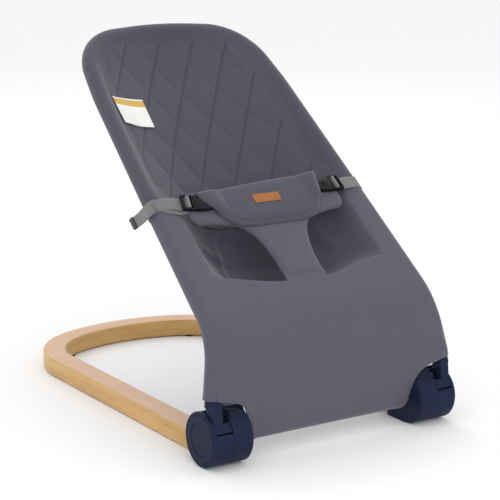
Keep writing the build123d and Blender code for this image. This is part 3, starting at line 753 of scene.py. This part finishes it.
def stem_outline():
    """Right edge of the restraint's stem and band as (x, s), from the skirt up."""
    points = ((32, 165), (30.5, 181), (31.5, 205), (35.5, 230), (44, 254), (62, 270), (92, 275.5),
              (118, 278.5), (123.5, 290), (123, 308), (120, 329))
    radii = (40, 80, 60, 50, 28, 60, 7, 20, 30)
    return rounded_path(points, radii, 1.6)


def restraint_height(s):
    return COVER_R + 2.4 * smoothstep((s - 170) / 100)


def front_height(x, s):
    return COVER_R - 1.2 * (1 - (np.abs(x) / tube_half(s)) ** 2) * smoothstep((s - 20) / 60)


def fabric_front():
    """Skirt, side strips and the T of the restraint: one sheet that shares its columns."""
    upper, lower, counts, arch = skirt_columns()
    cloth = Cloth()
    rows = np.linspace(LEG_HEM_S, upper[0, 1], 66)
    edge = np.stack((tube_half(rows), rows), axis=1)
    flat = coons(lower, upper, mirrored(edge), edge)
    low_hem = np.stack((np.linspace(-120, 120, 240), np.full(240, arch[-1, 1])), axis=1)
    apart = distance_to(flat, np.concatenate((mirrored(arch), low_hem, arch)))
    thick = SHEET_T + 0.8 * smoothstep((12 - apart) / 3)
    height = np.where(flat[..., 1] > 0, front_height(flat[..., 0], flat[..., 1]), COVER_R)
    height = height + 0.8 * smoothstep((9.5 - apart) / 1.5) * smoothstep((flat[..., 1] + 75) / 15)
    cloth.grid(lay(flat, height), flat, thick)

    # rolled edge of the leg holes, on both sides of the stem
    first = counts["strip"] - 1
    roll = ((0.0, 0.0), (1.0, -0.3), (2.0, -1.2), (2.7, -2.8), (3.0, -5.0), (3.0, -10.5))
    for side in (0, 1):
        picked = slice(first, first + counts["hole"] + 1)
        border = upper[picked] if side == 0 else upper[::-1][picked]
        lip = np.stack([border + (0, up) for up, _ in roll])
        drop = np.array([down for _, down in roll])[:, None]
        height = front_height(border[:, 0], border[:, 1]) + drop
        cloth.grid(lay(lip, height), lip, SHEET_T)

    # side strips and the turned-down edge beside each hole
    rise = np.linspace(upper[0, 1], SEAM_S, 46)
    share = np.concatenate((np.linspace(0, 1, counts["strip"]), 1 + np.linspace(0, 1, 8)[1:] * 0.45))
    for side in (-1, 1):
        half = tube_half(rise)[:, None]
        low_s = np.concatenate((upper[:counts["strip"], 1], np.full(7, HOLE_CORNER_S)))
        lift = (rise - rise[0]) / (rise[-1] - rise[0])
        s = low_s[None] + (SEAM_S - low_s)[None] * lift[:, None]
        x = half + (fold_half(s) - half) * np.minimum(share, 1)
        x = x - np.clip(share - 1, 0, 1)[None] * 28.0
        turned = cover_height(x, s, half - x)
        blend = smoothstep((s - HOLE_CORNER_S) / 12)
        height = front_height(x, s) * (1 - blend) + turned * blend
        sunk = np.minimum(height, COVER_R - (share[None] - 1) * 20)
        height = np.where((share[None] > 1) & (blend < 1), sunk, height)
        cloth.grid(place(side * x, s, height), np.stack((side * x, s), axis=2), 1.6)

    # stem and band
    outline_right = stem_outline()
    bars = np.concatenate((-np.sin(np.linspace(1, 0, 15) * math.pi / 2),
                           np.sin(np.linspace(0, 1, 15) * math.pi / 2)[1:]))
    x = outline_right[:, :1] * bars[None]
    s = np.repeat(outline_right[:, 1:], len(bars), axis=1)
    s = np.where(s < 172, np.maximum(s, hole_edge(x)), s)
    points = np.stack((x, s), axis=2)
    apart = np.minimum(*[distance_to(points, resample(line, 500))
                         for line in (outline_right, mirrored(outline_right))])
    grown = smoothstep((s - 168) / 14)
    crown = 1.6 * (1 - np.exp(-apart / 9)) - 2.2 * np.exp(-(apart / 2.2) ** 2)
    height = restraint_height(s) + grown * crown
    height = height * grown + front_height(x, s) * (1 - grown)
    cloth.grid(place(x, s, height), points, SHEET_T + 2.2 * grown)

    # sleeves round the legs
    boundary = np.concatenate((rows, rise[1:]))

    def behind(x, s):
        turned = cover_height(x, s, tube_half(s) - x)
        return np.where(s < HOLE_CORNER_S + 6, COVER_R, turned)

    for side in (-1, 1):
        rim(cloth, boundary, behind, side)
    return cloth.make("fabric_front", (0, -1, 0), LOOKS["fabric"])


def crease(x, s, start, end, wide, high):
    """Soft ridge along the line from start to end."""
    start, end = np.array(start), np.array(end)
    run = end - start
    share = np.clip(((x - start[0]) * run[0] + (s - start[1]) * run[1]) / (run @ run), 0, 1)
    gap = np.hypot(x - start[0] - share * run[0], s - start[1] - share * run[1])
    return high * np.exp(-(gap / wide) ** 2) * np.sin(math.pi * (0.12 + 0.76 * share))


def fabric_seat():
    """The pocket that a baby sits in, behind the leg holes."""
    cloth = Cloth()
    share = np.linspace(-1, 1, 91)
    rise = np.linspace(0, 1, 64) ** 1.15
    edge_x = fold_half(np.array(HOLE_CORNER_S)) + 5.0
    start = hole_edge(share * edge_x) + 0.7
    s = start[None] + (SEAM_S + 9 - start)[None] * rise[:, None]
    x = share[None] * (fold_half(s) + 5.0)
    height = cover_height(x, s, tube_half(s) - np.abs(x)) - 1.9
    height = height + sum(crease(x, s, *fold) for fold in SEAT_CREASES)
    cloth.grid(place(x, s, height), np.stack((x, s), axis=2), 1.8)
    return cloth.make("fabric_seat", (0, 1, 0.5), LOOKS["inner_fabric"])


def quilting(x, s):
    """Relief of the quilted back, and the distance to its nearest seam. One family of seams is
    pulled tighter than the other."""
    phase = QUILT_SLOPE * (s - QUILT_S)
    lean = math.cos(math.atan(QUILT_SLOPE))
    one, two = (x - phase) / (2 * QUILT_HALF), (x + phase) / (2 * QUILT_HALF)
    gap_one = np.abs(one - np.round(one)) * 2 * QUILT_HALF * lean
    gap_two = np.abs(two - np.round(two)) * 2 * QUILT_HALF * lean
    border = np.abs(x) - (tube_half(s) - QUILT_INSET)
    inside = smoothstep(-border / 4 + 0.5)
    below_top = smoothstep((QUILT_TOP_S - s) / 14)
    shown = (border < 0) & (s < QUILT_TOP_S)
    edge_gap = np.where(s < QUILT_TOP_S - 10, np.abs(border), NO_SEAM)
    tight = np.exp(-(gap_one / 1.9) ** 2) * below_top * (border < 0)
    slack = QUILT_FAINT * np.exp(-(gap_two / 1.9) ** 2) * below_top * (border < 0)
    side = QUILT_FAINT * np.exp(-(edge_gap / 1.9) ** 2)
    puff = 1.3 * inside * below_top * np.sqrt(np.abs(np.sin(math.pi * one) * np.sin(math.pi * two)))
    apart = np.where(shown, np.minimum(gap_one, gap_two * 1.3 + 0.8), NO_SEAM)
    return puff - 1.6 * np.maximum.reduce([tight, slack, side]), np.minimum(apart, edge_gap * 1.3 + 0.8)


def fabric_back():
    """Quilted back, slung inside the tube, with its sleeve round the tube's sides and top."""
    line = OUTLINE
    heading = np.abs(np.gradient(line, axis=0))
    corner = next(i for i in range(len(line)) if line[i, 1] > 560 and heading[i, 0] > heading[i, 1])
    start = int(np.argmin(np.abs(line[: len(line) // 2, 1] - SEAM_S)))
    side = resample(line[start:corner + 1], 150)
    top = resample(line[corner:len(line) - corner], 142)
    top[-1] = mirrored(top[0])
    bottom = np.stack((np.linspace(side[0, 0], -side[0, 0], 142), np.full(142, side[0, 1])), axis=1)
    flat = coons(bottom, top, side, mirrored(side))
    x, s = flat[..., 0], flat[..., 1]
    edge = distance_to(flat, line)
    relief, apart = quilting(x, s)
    height = cover_height(x, s, edge) + relief * smoothstep((edge - 14) / 8)
    cloth = Cloth()
    thick = np.clip(5.5 * smoothstep(edge / 22) + SLEEVE_T + 1.3 * relief, SLEEVE_T, 8)
    cloth.grid(place(x, s, height), flat, thick, apart)

    # the sleeve, ring by ring along the whole outline
    chain = np.concatenate((side, top[1:], mirrored(side)[::-1][1:]))
    along = headings(chain)
    out = np.stack((-along[:, 1], along[:, 0]), axis=1)
    seam = chain - out * RIM_SEAM
    seam_height = cover_height(seam[:, 0], seam[:, 1], np.full(len(seam), RIM_SEAM)) - 6.0
    rings, heights = [], []
    for outward, upward in zip(*SLEEVE_ROUND):
        rings.append(chain + out * COVER_R * outward)
        heights.append(np.full(len(chain), COVER_R * upward))
    for step in SLEEVE_STEPS:
        rings.append(chain - out * RIM_SEAM * step)
        heights.append(-COVER_R + (seam_height + COVER_R) * smoothstep(step) ** 1.3)
    rings, heights = np.stack(rings), np.stack(heights)
    cloth.grid(lay(rings, heights), rings, SLEEVE_T)
    back = cloth.make("fabric_back", OUT_OF_BACK, LOOKS["quilted_fabric"])
    flat = attribute(back, "cloth")
    sewn = 1 - smoothstep((flat[:, 2] - 2.0) / 4)
    sleeve = (flat[:, 2] > 90) | (attribute(back, "thick") < 3.0)
    return inflate(back, np.maximum(sewn, sleeve * 1.0), pressure=2.5, cap=3.0)


def flap_grid():
    """(x, s) of the restraint's flap."""
    right = rounded_path(((97, 338), (89, 300), (74, 274)), (60,), 1.0)
    low = ((-74, 274), (-62, 263), (-36, 259), (36, 259), (62, 263), (74, 274))
    low = rounded_path(low, (14, 60, 60, 14), 1.0)
    right = resample(right[::-1], 41)
    left = rounded_path(((-74, 274), (-87, 292), (-98, 304), (-106, 323)), (30, 60), 1.0)
    left = resample(left, 41)
    top_s = np.linspace(323, 338, 81) + 3 * np.sin(np.linspace(0, math.pi, 81))
    top = np.stack((np.linspace(-106, 97, 81), top_s), axis=1)
    return coons(resample(low, 81), top, left, right), low


def flap_height(x, s):
    over_right = smoothstep((x - 66) / 22) * smoothstep((s - 284) / 14)
    over_left = smoothstep((-x - 62) / 18) * smoothstep((s - 282) / 14)
    return 19.4 + 4.4 * over_right + 4.6 * over_left - 1.6 * smoothstep((275 - s) / 16)


def restraint_flap():
    """Padded flap that hides the buckles' inner ends."""
    flat, low = flap_grid()
    x, s = flat[..., 0], flat[..., 1]
    sides = [flat[0], flat[-1], flat[:, 0], flat[:, -1]]
    apart = np.minimum.reduce([distance_to(flat, resample(line, 300)) for line in sides])
    stitch = np.exp(-((distance_to(flat, low) - 7.5) / 1.5) ** 2)
    swell = FLAP_SWELL * (1 - np.exp(-apart / 6)) - 1.3 * np.exp(-(apart / 1.8) ** 2) - 0.9 * stitch
    tag = np.maximum(np.abs(x) - TAG_SIZE[0] / 2, np.abs(s - TAG_S) - TAG_SIZE[1] / 2)
    sewn = np.maximum.reduce([np.exp(-(apart / 2.5) ** 2), stitch, smoothstep((5 - tag) / 4)])
    cloth = Cloth()
    thick = 2.2 + 1.6 * smoothstep(apart / 10)
    cloth.grid(place(x, s, flap_height(x, s) + swell), flat, thick, NO_SEAM * (1 - sewn))
    flap = cloth.make("fabric_flap", OUT_OF_BACK, FLAP)
    return inflate(flap, 1 - attribute(flap, "cloth")[:, 2] / NO_SEAM, pressure=3.0, cap=2.5)


# ---------------------------------------------------------------- tag, label, straps and stitches

def leather_tag():
    """Plain leather tag with rounded corners and a pressed line round its edge."""
    wide, tall, thick = TAG_SIZE
    x, y = np.meshgrid(np.linspace(-1, 1, 61), np.linspace(-1, 1, 31))
    apart = np.minimum((1 - np.abs(x)) * wide / 2, (1 - np.abs(y)) * tall / 2)
    rounding = 1 - 0.03 * (np.abs(x) * np.abs(y)) ** 8
    pressed = 0.28 * np.exp(-((apart - 1.8) / 0.35) ** 2)
    rounded = 0.35 * np.exp(-(apart / 0.4) ** 2)
    flat = np.stack((x * rounding * wide / 2, TAG_S + y * rounding * tall / 2), axis=2)
    height = flap_height(flat[..., 0], flat[..., 1]) + FLAP_SWELL + thick - pressed - rounded
    cloth = Cloth()
    cloth.grid(lay(flat, height), flat, thick)
    return cloth.make("tag_blank", OUT_OF_BACK, LOOKS["leather"])


def back_height(x, s):
    return cover_height(x, s, tube_half(s) - np.abs(x)) + 1.4


def care_label():
    """Blank satin label, sewn along its top, with its lower corners a little lifted."""
    x, s = np.meshgrid(np.linspace(*LABEL_X, 41), np.linspace(*LABEL_S, 41))
    u = (x - LABEL_X[0]) / (LABEL_X[1] - LABEL_X[0])
    v = (s - LABEL_S[0]) / (LABEL_S[1] - LABEL_S[0])
    lift = 1.2 * (1 - v) ** 2 * (1 + 0.8 * np.cos(2 * math.pi * u)) + 0.3 * np.sin(5 * u + 3 * v)
    skewed = s + LABEL_SKEW * (x - sum(LABEL_X) / 2)
    cloth = Cloth()
    cloth.grid(place(x, skewed, back_height(x, skewed) + 1.0 + lift), np.stack((x, s), axis=2), 0.35)
    return cloth.make("label_blank", OUT_OF_BACK, LOOKS["label"])


def ribbon(name, path, wide, count, width=STRAP_W, thick=STRAP_T, material=LOOKS["webbing"]):
    """Webbing along a path of points in millimetres. wide is the direction across the webbing,
    one for the whole path or one for each of its points."""
    path = np.array(path, float)
    wide = np.broadcast_to(np.array(wide, float), path.shape)
    both = resample(np.concatenate((path, wide), axis=1), count)
    centre, across = both[:, :3], both[:, 3:]
    across = unit_rows(across)
    up = unit_rows(np.cross(headings(centre), across))
    bars = np.linspace(-0.5, 0.5, 11)
    points = centre[:, None] + across[:, None] * bars[None, :, None] * width
    flat = np.stack(np.broadcast_arrays(bars * width, lengths(centre)[:, None]), axis=2)
    cloth = Cloth()
    cloth.grid(points, flat, thick)
    return cloth.make(name, tuple(up[0]), material)


def smooth_points(points, count=80):
    """A smooth line near given points: corners cut three times, then evenly spaced."""
    line = np.array(points, float)
    for _ in range(3):
        cut = [line[0]]
        for a, b in zip(line[:-1], line[1:]):
            cut += [a * 0.75 + b * 0.25, a * 0.25 + b * 0.75]
        line = np.array(cut + [line[-1]])
    return resample(line, count)


UP_SLOPE = np.array((0.0, SLOPE[0], SLOPE[1]))
STRAP_X = float(tube_half(STRAP_S))
BUCKLE_PIVOT = 128.0
# Each buckle hangs a little askew: shift outward, s at its outer end, and tilt
BUCKLE_AT = {-1: (0.0, 312.5, math.radians(12.0)), 1: (2.5, 315.0, math.radians(2.0))}


def strap_route(side):
    """Webbing up through the ladder, over its middle bar, back out under the frame, over the
    side strip and round the tube."""
    around = COVER_R + STRAP_T + 0.2
    ride = [(113.0, 14.9), (116.2, 15.0), (116.8, 18.5), (118.0, 22.9), (121.8, 23.0), (123.2, 19.0),
            (124.0, 15.6), (128.5, 14.9), (134.0, 15.0), (140.0, around + 1.6), (STRAP_X - 10, around + 0.6)]
    ride += [(STRAP_X + around * out, around * up) for out, up in zip(*half_turns(100, -115, 16))]
    line = smooth_points(ride, 130)
    shift, buckle_s, tilt = BUCKLE_AT[side]
    held = 1 - smoothstep((line[:, 0] - BUCKLE_PIVOT) / 26)
    s_held = buckle_s + (line[:, 0] - BUCKLE_PIVOT) * math.sin(tilt)
    s = STRAP_S + (s_held - STRAP_S) * held
    turn = (tilt * held)[:, None]
    wide = UP_SLOPE * np.cos(turn) - np.array((side, 0.0, 0.0)) * np.sin(turn)
    return place(side * (line[:, 0] + shift * held), s, line[:, 1]), wide


def straps():
    made = []
    for side, name in ((-1, "left"), (1, "right")):
        path, wide = strap_route(side)
        made.append((ribbon(f"webbing_{name}", path[::side], wide[::side], 130), name))
    return made


def strap_tail():
    """Spare webbing on the left: from behind the strap, outside the tube, then hanging free."""
    start = place(-(STRAP_X + COVER_R + 3.4), STRAP_S - 4, 7.0)
    points = [start + (5, -7, 7), start + (0.6, -3, 3), start + (-0.6, 4, -3), start + (-1.0, 16, -12),
              start + (-2.2, 28, -19), start + (-2.0, 36, -24)]
    line = smooth_points(points, 50)
    turn = np.linspace(0, 1, 50)[:, None]
    wide = np.array((0.06, 0.74, 0.67)) * (1 - turn) + np.array((0.1, 0.86, 0.5)) * turn
    tail = ribbon("webbing_tail", line, wide, 50)
    end = resample(line[40:], 12) + (-0.15, 0, 0)
    wrap = ribbon("webbing_tail_end", end, wide[-12:], 12, STRAP_W + 0.6, 3.0, TAIL_END)
    return tail, wrap


def strap_slack():
    """Second layer of webbing that droops under the left strap, on its way back from the ladder."""
    ride = [(122.0, 13.6), (128.0, 12.6), (134.0, 11.9), (142.0, 12.2), (150.0, 12.6), (158.0, 12.8)]
    line = smooth_points(ride, 40)
    s = np.interp(line[:, 0], (122, 136, 148, 158), (308.5, 308.5, 312.0, 316.0))
    return ribbon("webbing_slack", place(-line[:, 0], s, line[:, 1])[::-1], UP_SLOPE, 40, thick=1.0)


def strap_loop():
    """Spare webbing on the right, looped behind the tube."""
    start = place(STRAP_X + COVER_R + 2.4, STRAP_S, 0.0)
    points = [start + (0, 0, 3), start + (1.5, 4, -8), start + (2.5, 16, -20), start + (-1, 26, -23),
              start + (-9, 24, -14), start + (-16, 14, -8)]
    return ribbon("webbing_loop", smooth_points(points, 50), UP_SLOPE, 50)


# ---------------------------------------------------------------- buckles

BUCKLE_LOW, BUCKLE_HIGH = 16.2, 22.2


def block(work, outline_points, low, high, soft):
    """Prism on an outline of (u, v) points between two heights, with its edges rounded."""
    bottom = [work.verts.new((u, v, low)) for u, v in outline_points]
    top = [work.verts.new((u, v, high)) for u, v in outline_points]
    faces = [work.faces.new(bottom), work.faces.new(top[::-1])]
    for k in range(len(bottom)):
        after = (k + 1) % len(bottom)
        faces.append(work.faces.new((bottom[k], top[k], top[after], bottom[after])))
    edges = list(dict.fromkeys(edge for face in faces for edge in face.edges))
    bmesh.ops.bevel(work, geom=edges, offset=soft, segments=3, profile=0.6, affect="EDGES")


def bar(work, u, v, low, high, soft=0.5):
    block(work, ((u[0], v[0]), (u[0], v[1]), (u[1], v[1]), (u[1], v[0])), low, high, soft)


def moulded(name, work, side, body):
    """Object from a mesh drawn in the buckle's own coordinates: u outward, v up the slope."""
    bmesh.ops.recalc_face_normals(work, faces=work.faces)
    mesh = bpy.data.meshes.new(name)
    work.to_mesh(mesh)
    work.free()
    u, v, h = positions(mesh).T
    shift, outer_s, tilt = BUCKLE_AT[side]
    out = BUCKLE_PIVOT + shift + (u - BUCKLE_PIVOT) * math.cos(tilt) - v * math.sin(tilt)
    up = outer_s + (u - BUCKLE_PIVOT) * math.sin(tilt) + v * math.cos(tilt)
    mesh.vertices.foreach_set("co", (place(side * out, up, h) * MM).ravel())
    if side < 0:
        mesh.flip_normals()
    obj = add_object(name, mesh, LOOKS["buckle_plastic"])
    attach(obj, body)
    return obj


def buckle_socket(side, name):
    """Tapered body with a window on each side for the prongs' shoulders."""
    work = bmesh.new()
    shell = ((84.0, -5.5), (86.5, -8.2), (94.0, -11.2), (104.0, -12.3), (110.6, -12.5),
             (110.6, 12.5), (104.0, 12.3), (94.0, 10.4), (86.5, 5.5), (84.0, 3.0))
    block(work, shell, BUCKLE_LOW, BUCKLE_LOW + 1.6, 0.5)
    block(work, shell, BUCKLE_HIGH - 1.7, BUCKLE_HIGH, 0.7)
    inner = (BUCKLE_LOW + 0.8, BUCKLE_HIGH - 0.8)
    nose = ((84.8, -5.0), (87.0, -7.4), (92.0, -9.6), (92.0, 9.0), (87.0, 5.0), (84.8, 2.6))
    block(work, nose, *inner, 0.4)
    for way in (-1, 1):
        bar(work, (103.5, 110.2), sorted((way * 9.9, way * 12.0)), *inner, 0.3)
    block(work, ((96.0, -4.6), (98.5, -6.0), (106.5, -6.8), (106.5, 6.8), (98.5, 6.0), (96.0, 4.6)),
          BUCKLE_HIGH - 0.6, BUCKLE_HIGH + 0.5, 0.4)
    obj = moulded(f"buckle_socket_{name}_body", work, side, "seat")
    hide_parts(f"buckle_socket_{name}")


def buckle_plug(side, name):
    """Ladder frame for the webbing, with two sprung prongs and a centre guide."""
    work = bmesh.new()
    for way in (-1, 1):
        bar(work, (111.0, 129.2), sorted((way * 10.4, way * 12.6)), BUCKLE_LOW, BUCKLE_HIGH - 0.8, 0.6)
        bar(work, (94.0, 112.0), sorted((way * 6.6, way * 9.0)), BUCKLE_LOW + 2.0, BUCKLE_HIGH - 2.1, 0.5)
        bar(work, (93.2, 102.6), sorted((way * 8.2, way * 12.2)), BUCKLE_LOW + 1.9, BUCKLE_HIGH - 2.0, 0.8)
    bar(work, (94.0, 112.0), (-1.4, 1.4), BUCKLE_LOW + 2.0, BUCKLE_HIGH - 2.1, 0.5)
    bar(work, (111.0, 114.6), (-11.5, 11.5), BUCKLE_LOW, BUCKLE_HIGH - 0.2, 0.9)
    bar(work, (118.2, 121.6), (-11.5, 11.5), BUCKLE_LOW + 1.2, BUCKLE_HIGH - 0.3, 1.2)
    bar(work, (126.0, 129.4), (-11.5, 11.5), BUCKLE_LOW + 0.4, BUCKLE_HIGH - 0.4, 1.2)
    obj = moulded(f"buckle_plug_{name}_body", work, side, f"plug_{name}")
    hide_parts(f"buckle_plug_{name}")


def skin(first, rings, size):
    """Faces of a closed tube: rings of size points that start at point first, with capped ends."""
    faces = []
    for row in range(rings - 1):
        for k in range(size):
            a, b = first + row * size + k, first + row * size + (k + 1) % size
            faces.append((a, b, b + size, a + size))
    last = first + (rings - 1) * size
    return faces + [tuple(range(first, first + size))[::-1], tuple(range(last, last + size))]


STITCH_LENGTH, STITCH_GAP, STITCH_RADIUS = 2.7, 1.5, 0.33
STITCH_RING = 6
# Places along a stitch, in its own lengths, and its thickness there
STITCH_SHAPE = ((-0.5, 0.12), (-0.42, 0.7), (0.0, 1.0), (0.42, 0.7), (0.5, 0.12))


def stitches(name, path, normal):
    """A row of thread stitches lying on a surface along a path of points in millimetres."""
    along = lengths(path)
    count = int(along[-1] / (STITCH_LENGTH + STITCH_GAP))
    at = (np.arange(count) + 0.5) * along[-1] / count
    centre, up = interp_rows(at, along, path), interp_rows(at, along, normal)
    tangent = unit_rows(interp_rows(at + 0.5, along, path) - interp_rows(at - 0.5, along, path))
    side = unit_rows(np.cross(up, tangent))
    up = np.cross(tangent, side)
    verts, faces = [], []
    for c, t, u, b in zip(centre, tangent, up, side):
        faces += skin(len(verts), len(STITCH_SHAPE), STITCH_RING)
        for share, swell in STITCH_SHAPE:
            for k in range(STITCH_RING):
                a = 2 * math.pi * k / STITCH_RING
                reach = (u * math.sin(a) + b * math.cos(a)) * STITCH_RADIUS * swell
                verts.append(tuple((c + t * share * STITCH_LENGTH + reach) * MM))
    mesh = bpy.data.meshes.new(name)
    mesh.from_pydata(verts, [], faces)
    obj = add_object(name, mesh, THREAD)
    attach(obj, "seat")
    return obj


def surface_normals(path, s):
    """Outward direction of the cover at each s."""
    normal = np.zeros_like(path)
    for k in (0, 1):
        normal[:, k + 1] = np.interp(s, PROFILE_S, PROFILE_OUT[:, k])
    return normal


def seam_stitches():
    arch = hem_line()
    along = lengths(arch)
    inner = headings(arch)
    moved = arch + np.stack((inner[:, 1], -inner[:, 0]), axis=1) * -8.0
    moved = moved[(along > 8) & (along < along[-1] - 50)]
    made = []
    for side, name in ((-1, "left"), (1, "right")):
        path = place(side * moved[:, 0], moved[:, 1], COVER_R + 0.25)
        made.append(stitches(f"hem_stitches_{name}", path, surface_normals(path, moved[:, 1])))
    _, low = flap_grid()
    inset = low * (0.9, 1.0) + (0, 7.0)
    path = lay(inset, flap_height(*inset.T) + FLAP_STITCH_UP)
    made.append(stitches("flap_stitches", path, surface_normals(path, inset[:, 1])))
    return made


# ---------------------------------------------------------------- rail

RAIL_W = 34.4
RAIL_Z = (1.5, 28.0)
RAIL_FRONT = (173.75, -240.5)
RAIL_WIDE = (181.4, 172.0)
RAIL_CORNER_R = 133.0
RAIL_CORNER_TURN = math.radians(70.0)
RAIL_EDGE = 2.2


def arc_points(start, heading, radius, turn, step=4.0):
    """Points and headings along an arc that begins at start and turns left."""
    left = np.array((-heading[1], heading[0]))
    centre = start + left * radius
    angles = np.linspace(0, turn, max(3, int(turn * radius / step)))[1:, None]
    points = centre + radius * (heading * np.sin(angles) - left * np.cos(angles))
    return points, heading * np.cos(angles) + left * np.sin(angles)


def rail_line():
    """Outer edge of the rail's plan, right end to left end, and its inward direction."""
    start, knee = np.array(RAIL_FRONT), np.array(RAIL_WIDE)
    heading = unit(knee - start)
    corner, turned = arc_points(knee, heading, RAIL_CORNER_R, RAIL_CORNER_TURN)
    left_to_turn = math.atan2(turned[-1, 1], -turned[-1, 0])
    radius = corner[-1, 0] / math.sin(left_to_turn)
    back, flat = arc_points(corner[-1], turned[-1], radius, left_to_turn)
    limb = start + (knee - start) * np.linspace(0, 1, 60)[:, None]
    points = np.concatenate((limb, corner, back))
    ahead = np.concatenate((np.broadcast_to(heading, limb.shape), turned, flat))
    inward = np.stack((-ahead[:, 1], ahead[:, 0]), axis=1)
    return [np.concatenate((half, mirrored(half)[::-1][1:])) for half in (points, inward)]


def base_rail():
    """Bentwood U with rounded long edges."""
    outer, inward = rail_line()
    low, high = RAIL_Z
    corner = [(math.sin(a), math.cos(a)) for a in np.linspace(0, math.pi / 2, 5)]
    soft = RAIL_EDGE
    ring = [(soft - soft * p, high - soft + soft * q) for p, q in corner]
    ring += [(soft - soft * q, low + soft - soft * p) for p, q in corner]
    ring += [(RAIL_W - soft + soft * p, low + soft - soft * q) for p, q in corner]
    ring += [(RAIL_W - soft + soft * q, high - soft + soft * p) for p, q in corner]
    depth, z = np.array(ring).T
    spots = outer[:, None] + inward[:, None] * depth[:, None]
    run = lengths(outer + inward * RAIL_W / 2)[:, None]
    depth, z, run = np.broadcast_arrays(depth, z, run)
    points = np.concatenate((spots, z[..., None]), axis=2).reshape(-1, 3) * MM
    upright = 1.0 - smoothstep((np.minimum(depth, RAIL_W - depth) - soft * 0.3) / (soft * 0.7))
    mesh = bpy.data.meshes.new("base_rail_wood")
    mesh.from_pydata(points.tolist(), [], skin(0, len(outer), len(ring)))
    add_attribute(mesh, "cloth", np.stack((depth, run, z), axis=2).reshape(-1, 3) * MM)
    add_attribute(mesh, "side", upright.ravel())
    work = bmesh.new()
    work.from_mesh(mesh)
    bmesh.ops.recalc_face_normals(work, faces=work.faces)
    work.to_mesh(mesh)
    work.free()
    return add_object("base_rail_wood", mesh, LOOKS["wood"])


# ---------------------------------------------------------------- put together

def on_seat(obj, slot, *nodes):
    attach(obj, "seat")
    if nodes:
        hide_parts(*nodes)
    return obj


def dress():
    finish_cad_parts()
    rail = base_rail()
    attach(rail, "base")
    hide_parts("base_rail")

    front = on_seat(fabric_front(), "fabric", "front_skirt", "side_strip_left", "side_strip_right",
                    "crotch_stem", "waist_band")
    seat = on_seat(fabric_seat(), "inner_fabric", "seat_sling")
    back = on_seat(fabric_back(), "quilted_fabric", "back_panel", "edge_sleeve")
    flap = on_seat(restraint_flap(), "fabric", "restraint_flap")
    on_seat(leather_tag(), "leather", "leather_tag")
    label = on_seat(care_label(), "label", "care_label")
    for strap, name in straps():
        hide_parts(f"strap_{name}")
        middle = sum(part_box(f"strap_{name}"), Vector()) / 2
        side = 1 if middle.x > 0 else -1
        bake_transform(strap)
        buckle_socket(side, name)
        buckle_plug(side, name)
    tail, wrap = strap_tail()
    on_seat(tail, "webbing", "strap_tail")
    for spare in (wrap, strap_slack(), strap_loop()):
        on_seat(spare, "webbing")
    for row in seam_stitches():
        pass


# ---------------------------------------------------------------- studio

CAMERA_AZIMUTH = math.radians(-32.568)
CAMERA_ELEVATION = math.radians(12.877)
CAMERA_DISTANCE = 2305.3
CAMERA_TARGET = (0.0, -94.26, 225.4)
CAMERA_LENS = 118.45
# Half the floor's side, and each lamp's name, place, size and power, in metres and watts
FLOOR_HALF = 30.0
LAMPS = (("key", (-0.7, -2.8, 1.3), 1.8, 24.0), ("fill", (-2.2, -0.6, 1.4), 2.0, 4.0),
         ("back", (0.6, 2.2, 2.4), 2.0, 14.0))


def studio():
    away = Vector((math.sin(CAMERA_AZIMUTH) * math.cos(CAMERA_ELEVATION),
                   -math.cos(CAMERA_AZIMUTH) * math.cos(CAMERA_ELEVATION), math.sin(CAMERA_ELEVATION)))
    target = Vector(CAMERA_TARGET) * MM
    data = bpy.data.cameras.new("camera")
    data.lens = CAMERA_LENS
    data.sensor_width = 36.0
    camera = bpy.data.objects.new("camera", data)
    bpy.context.scene.collection.objects.link(camera)
    camera.location = target + away * CAMERA_DISTANCE * MM
    camera.rotation_euler = (-away).to_track_quat("-Z", "Y").to_euler()
    bpy.context.scene.camera = camera

    floor_mesh = bpy.data.meshes.new("floor")
    corners = [(x * FLOOR_HALF, y * FLOOR_HALF, 0) for x, y in ((-1, -1), (1, -1), (1, 1), (-1, 1))]
    floor_mesh.from_pydata(corners, [], [(0, 1, 2, 3)])
    pale = Nodes("floor", (0.92, 0.92, 0.92), 0.9, Specular_IOR_Level=0.1)
    add_object("floor", floor_mesh, pale.material)

    world = bpy.data.worlds.new("studio")
    bpy.context.scene.world = world
    world.use_nodes = True
    world.node_tree.nodes["Background"].inputs["Color"].default_value = (1.0, 1.0, 1.0, 1.0)
    world.node_tree.nodes["Background"].inputs["Strength"].default_value = 1.0
    bpy.context.scene.view_settings.view_transform = "Standard"

    for name, at, size, power in LAMPS:
        light = bpy.data.lights.new(name, "AREA")
        light.size = size
        light.energy = power
        lamp = bpy.data.objects.new(name, light)
        lamp.location = at
        lamp.rotation_euler = (Vector((0, 0, 0.25)) - lamp.location).to_track_quat("-Z", "Y").to_euler()
        bpy.context.scene.collection.objects.link(lamp)


dress()
studio()
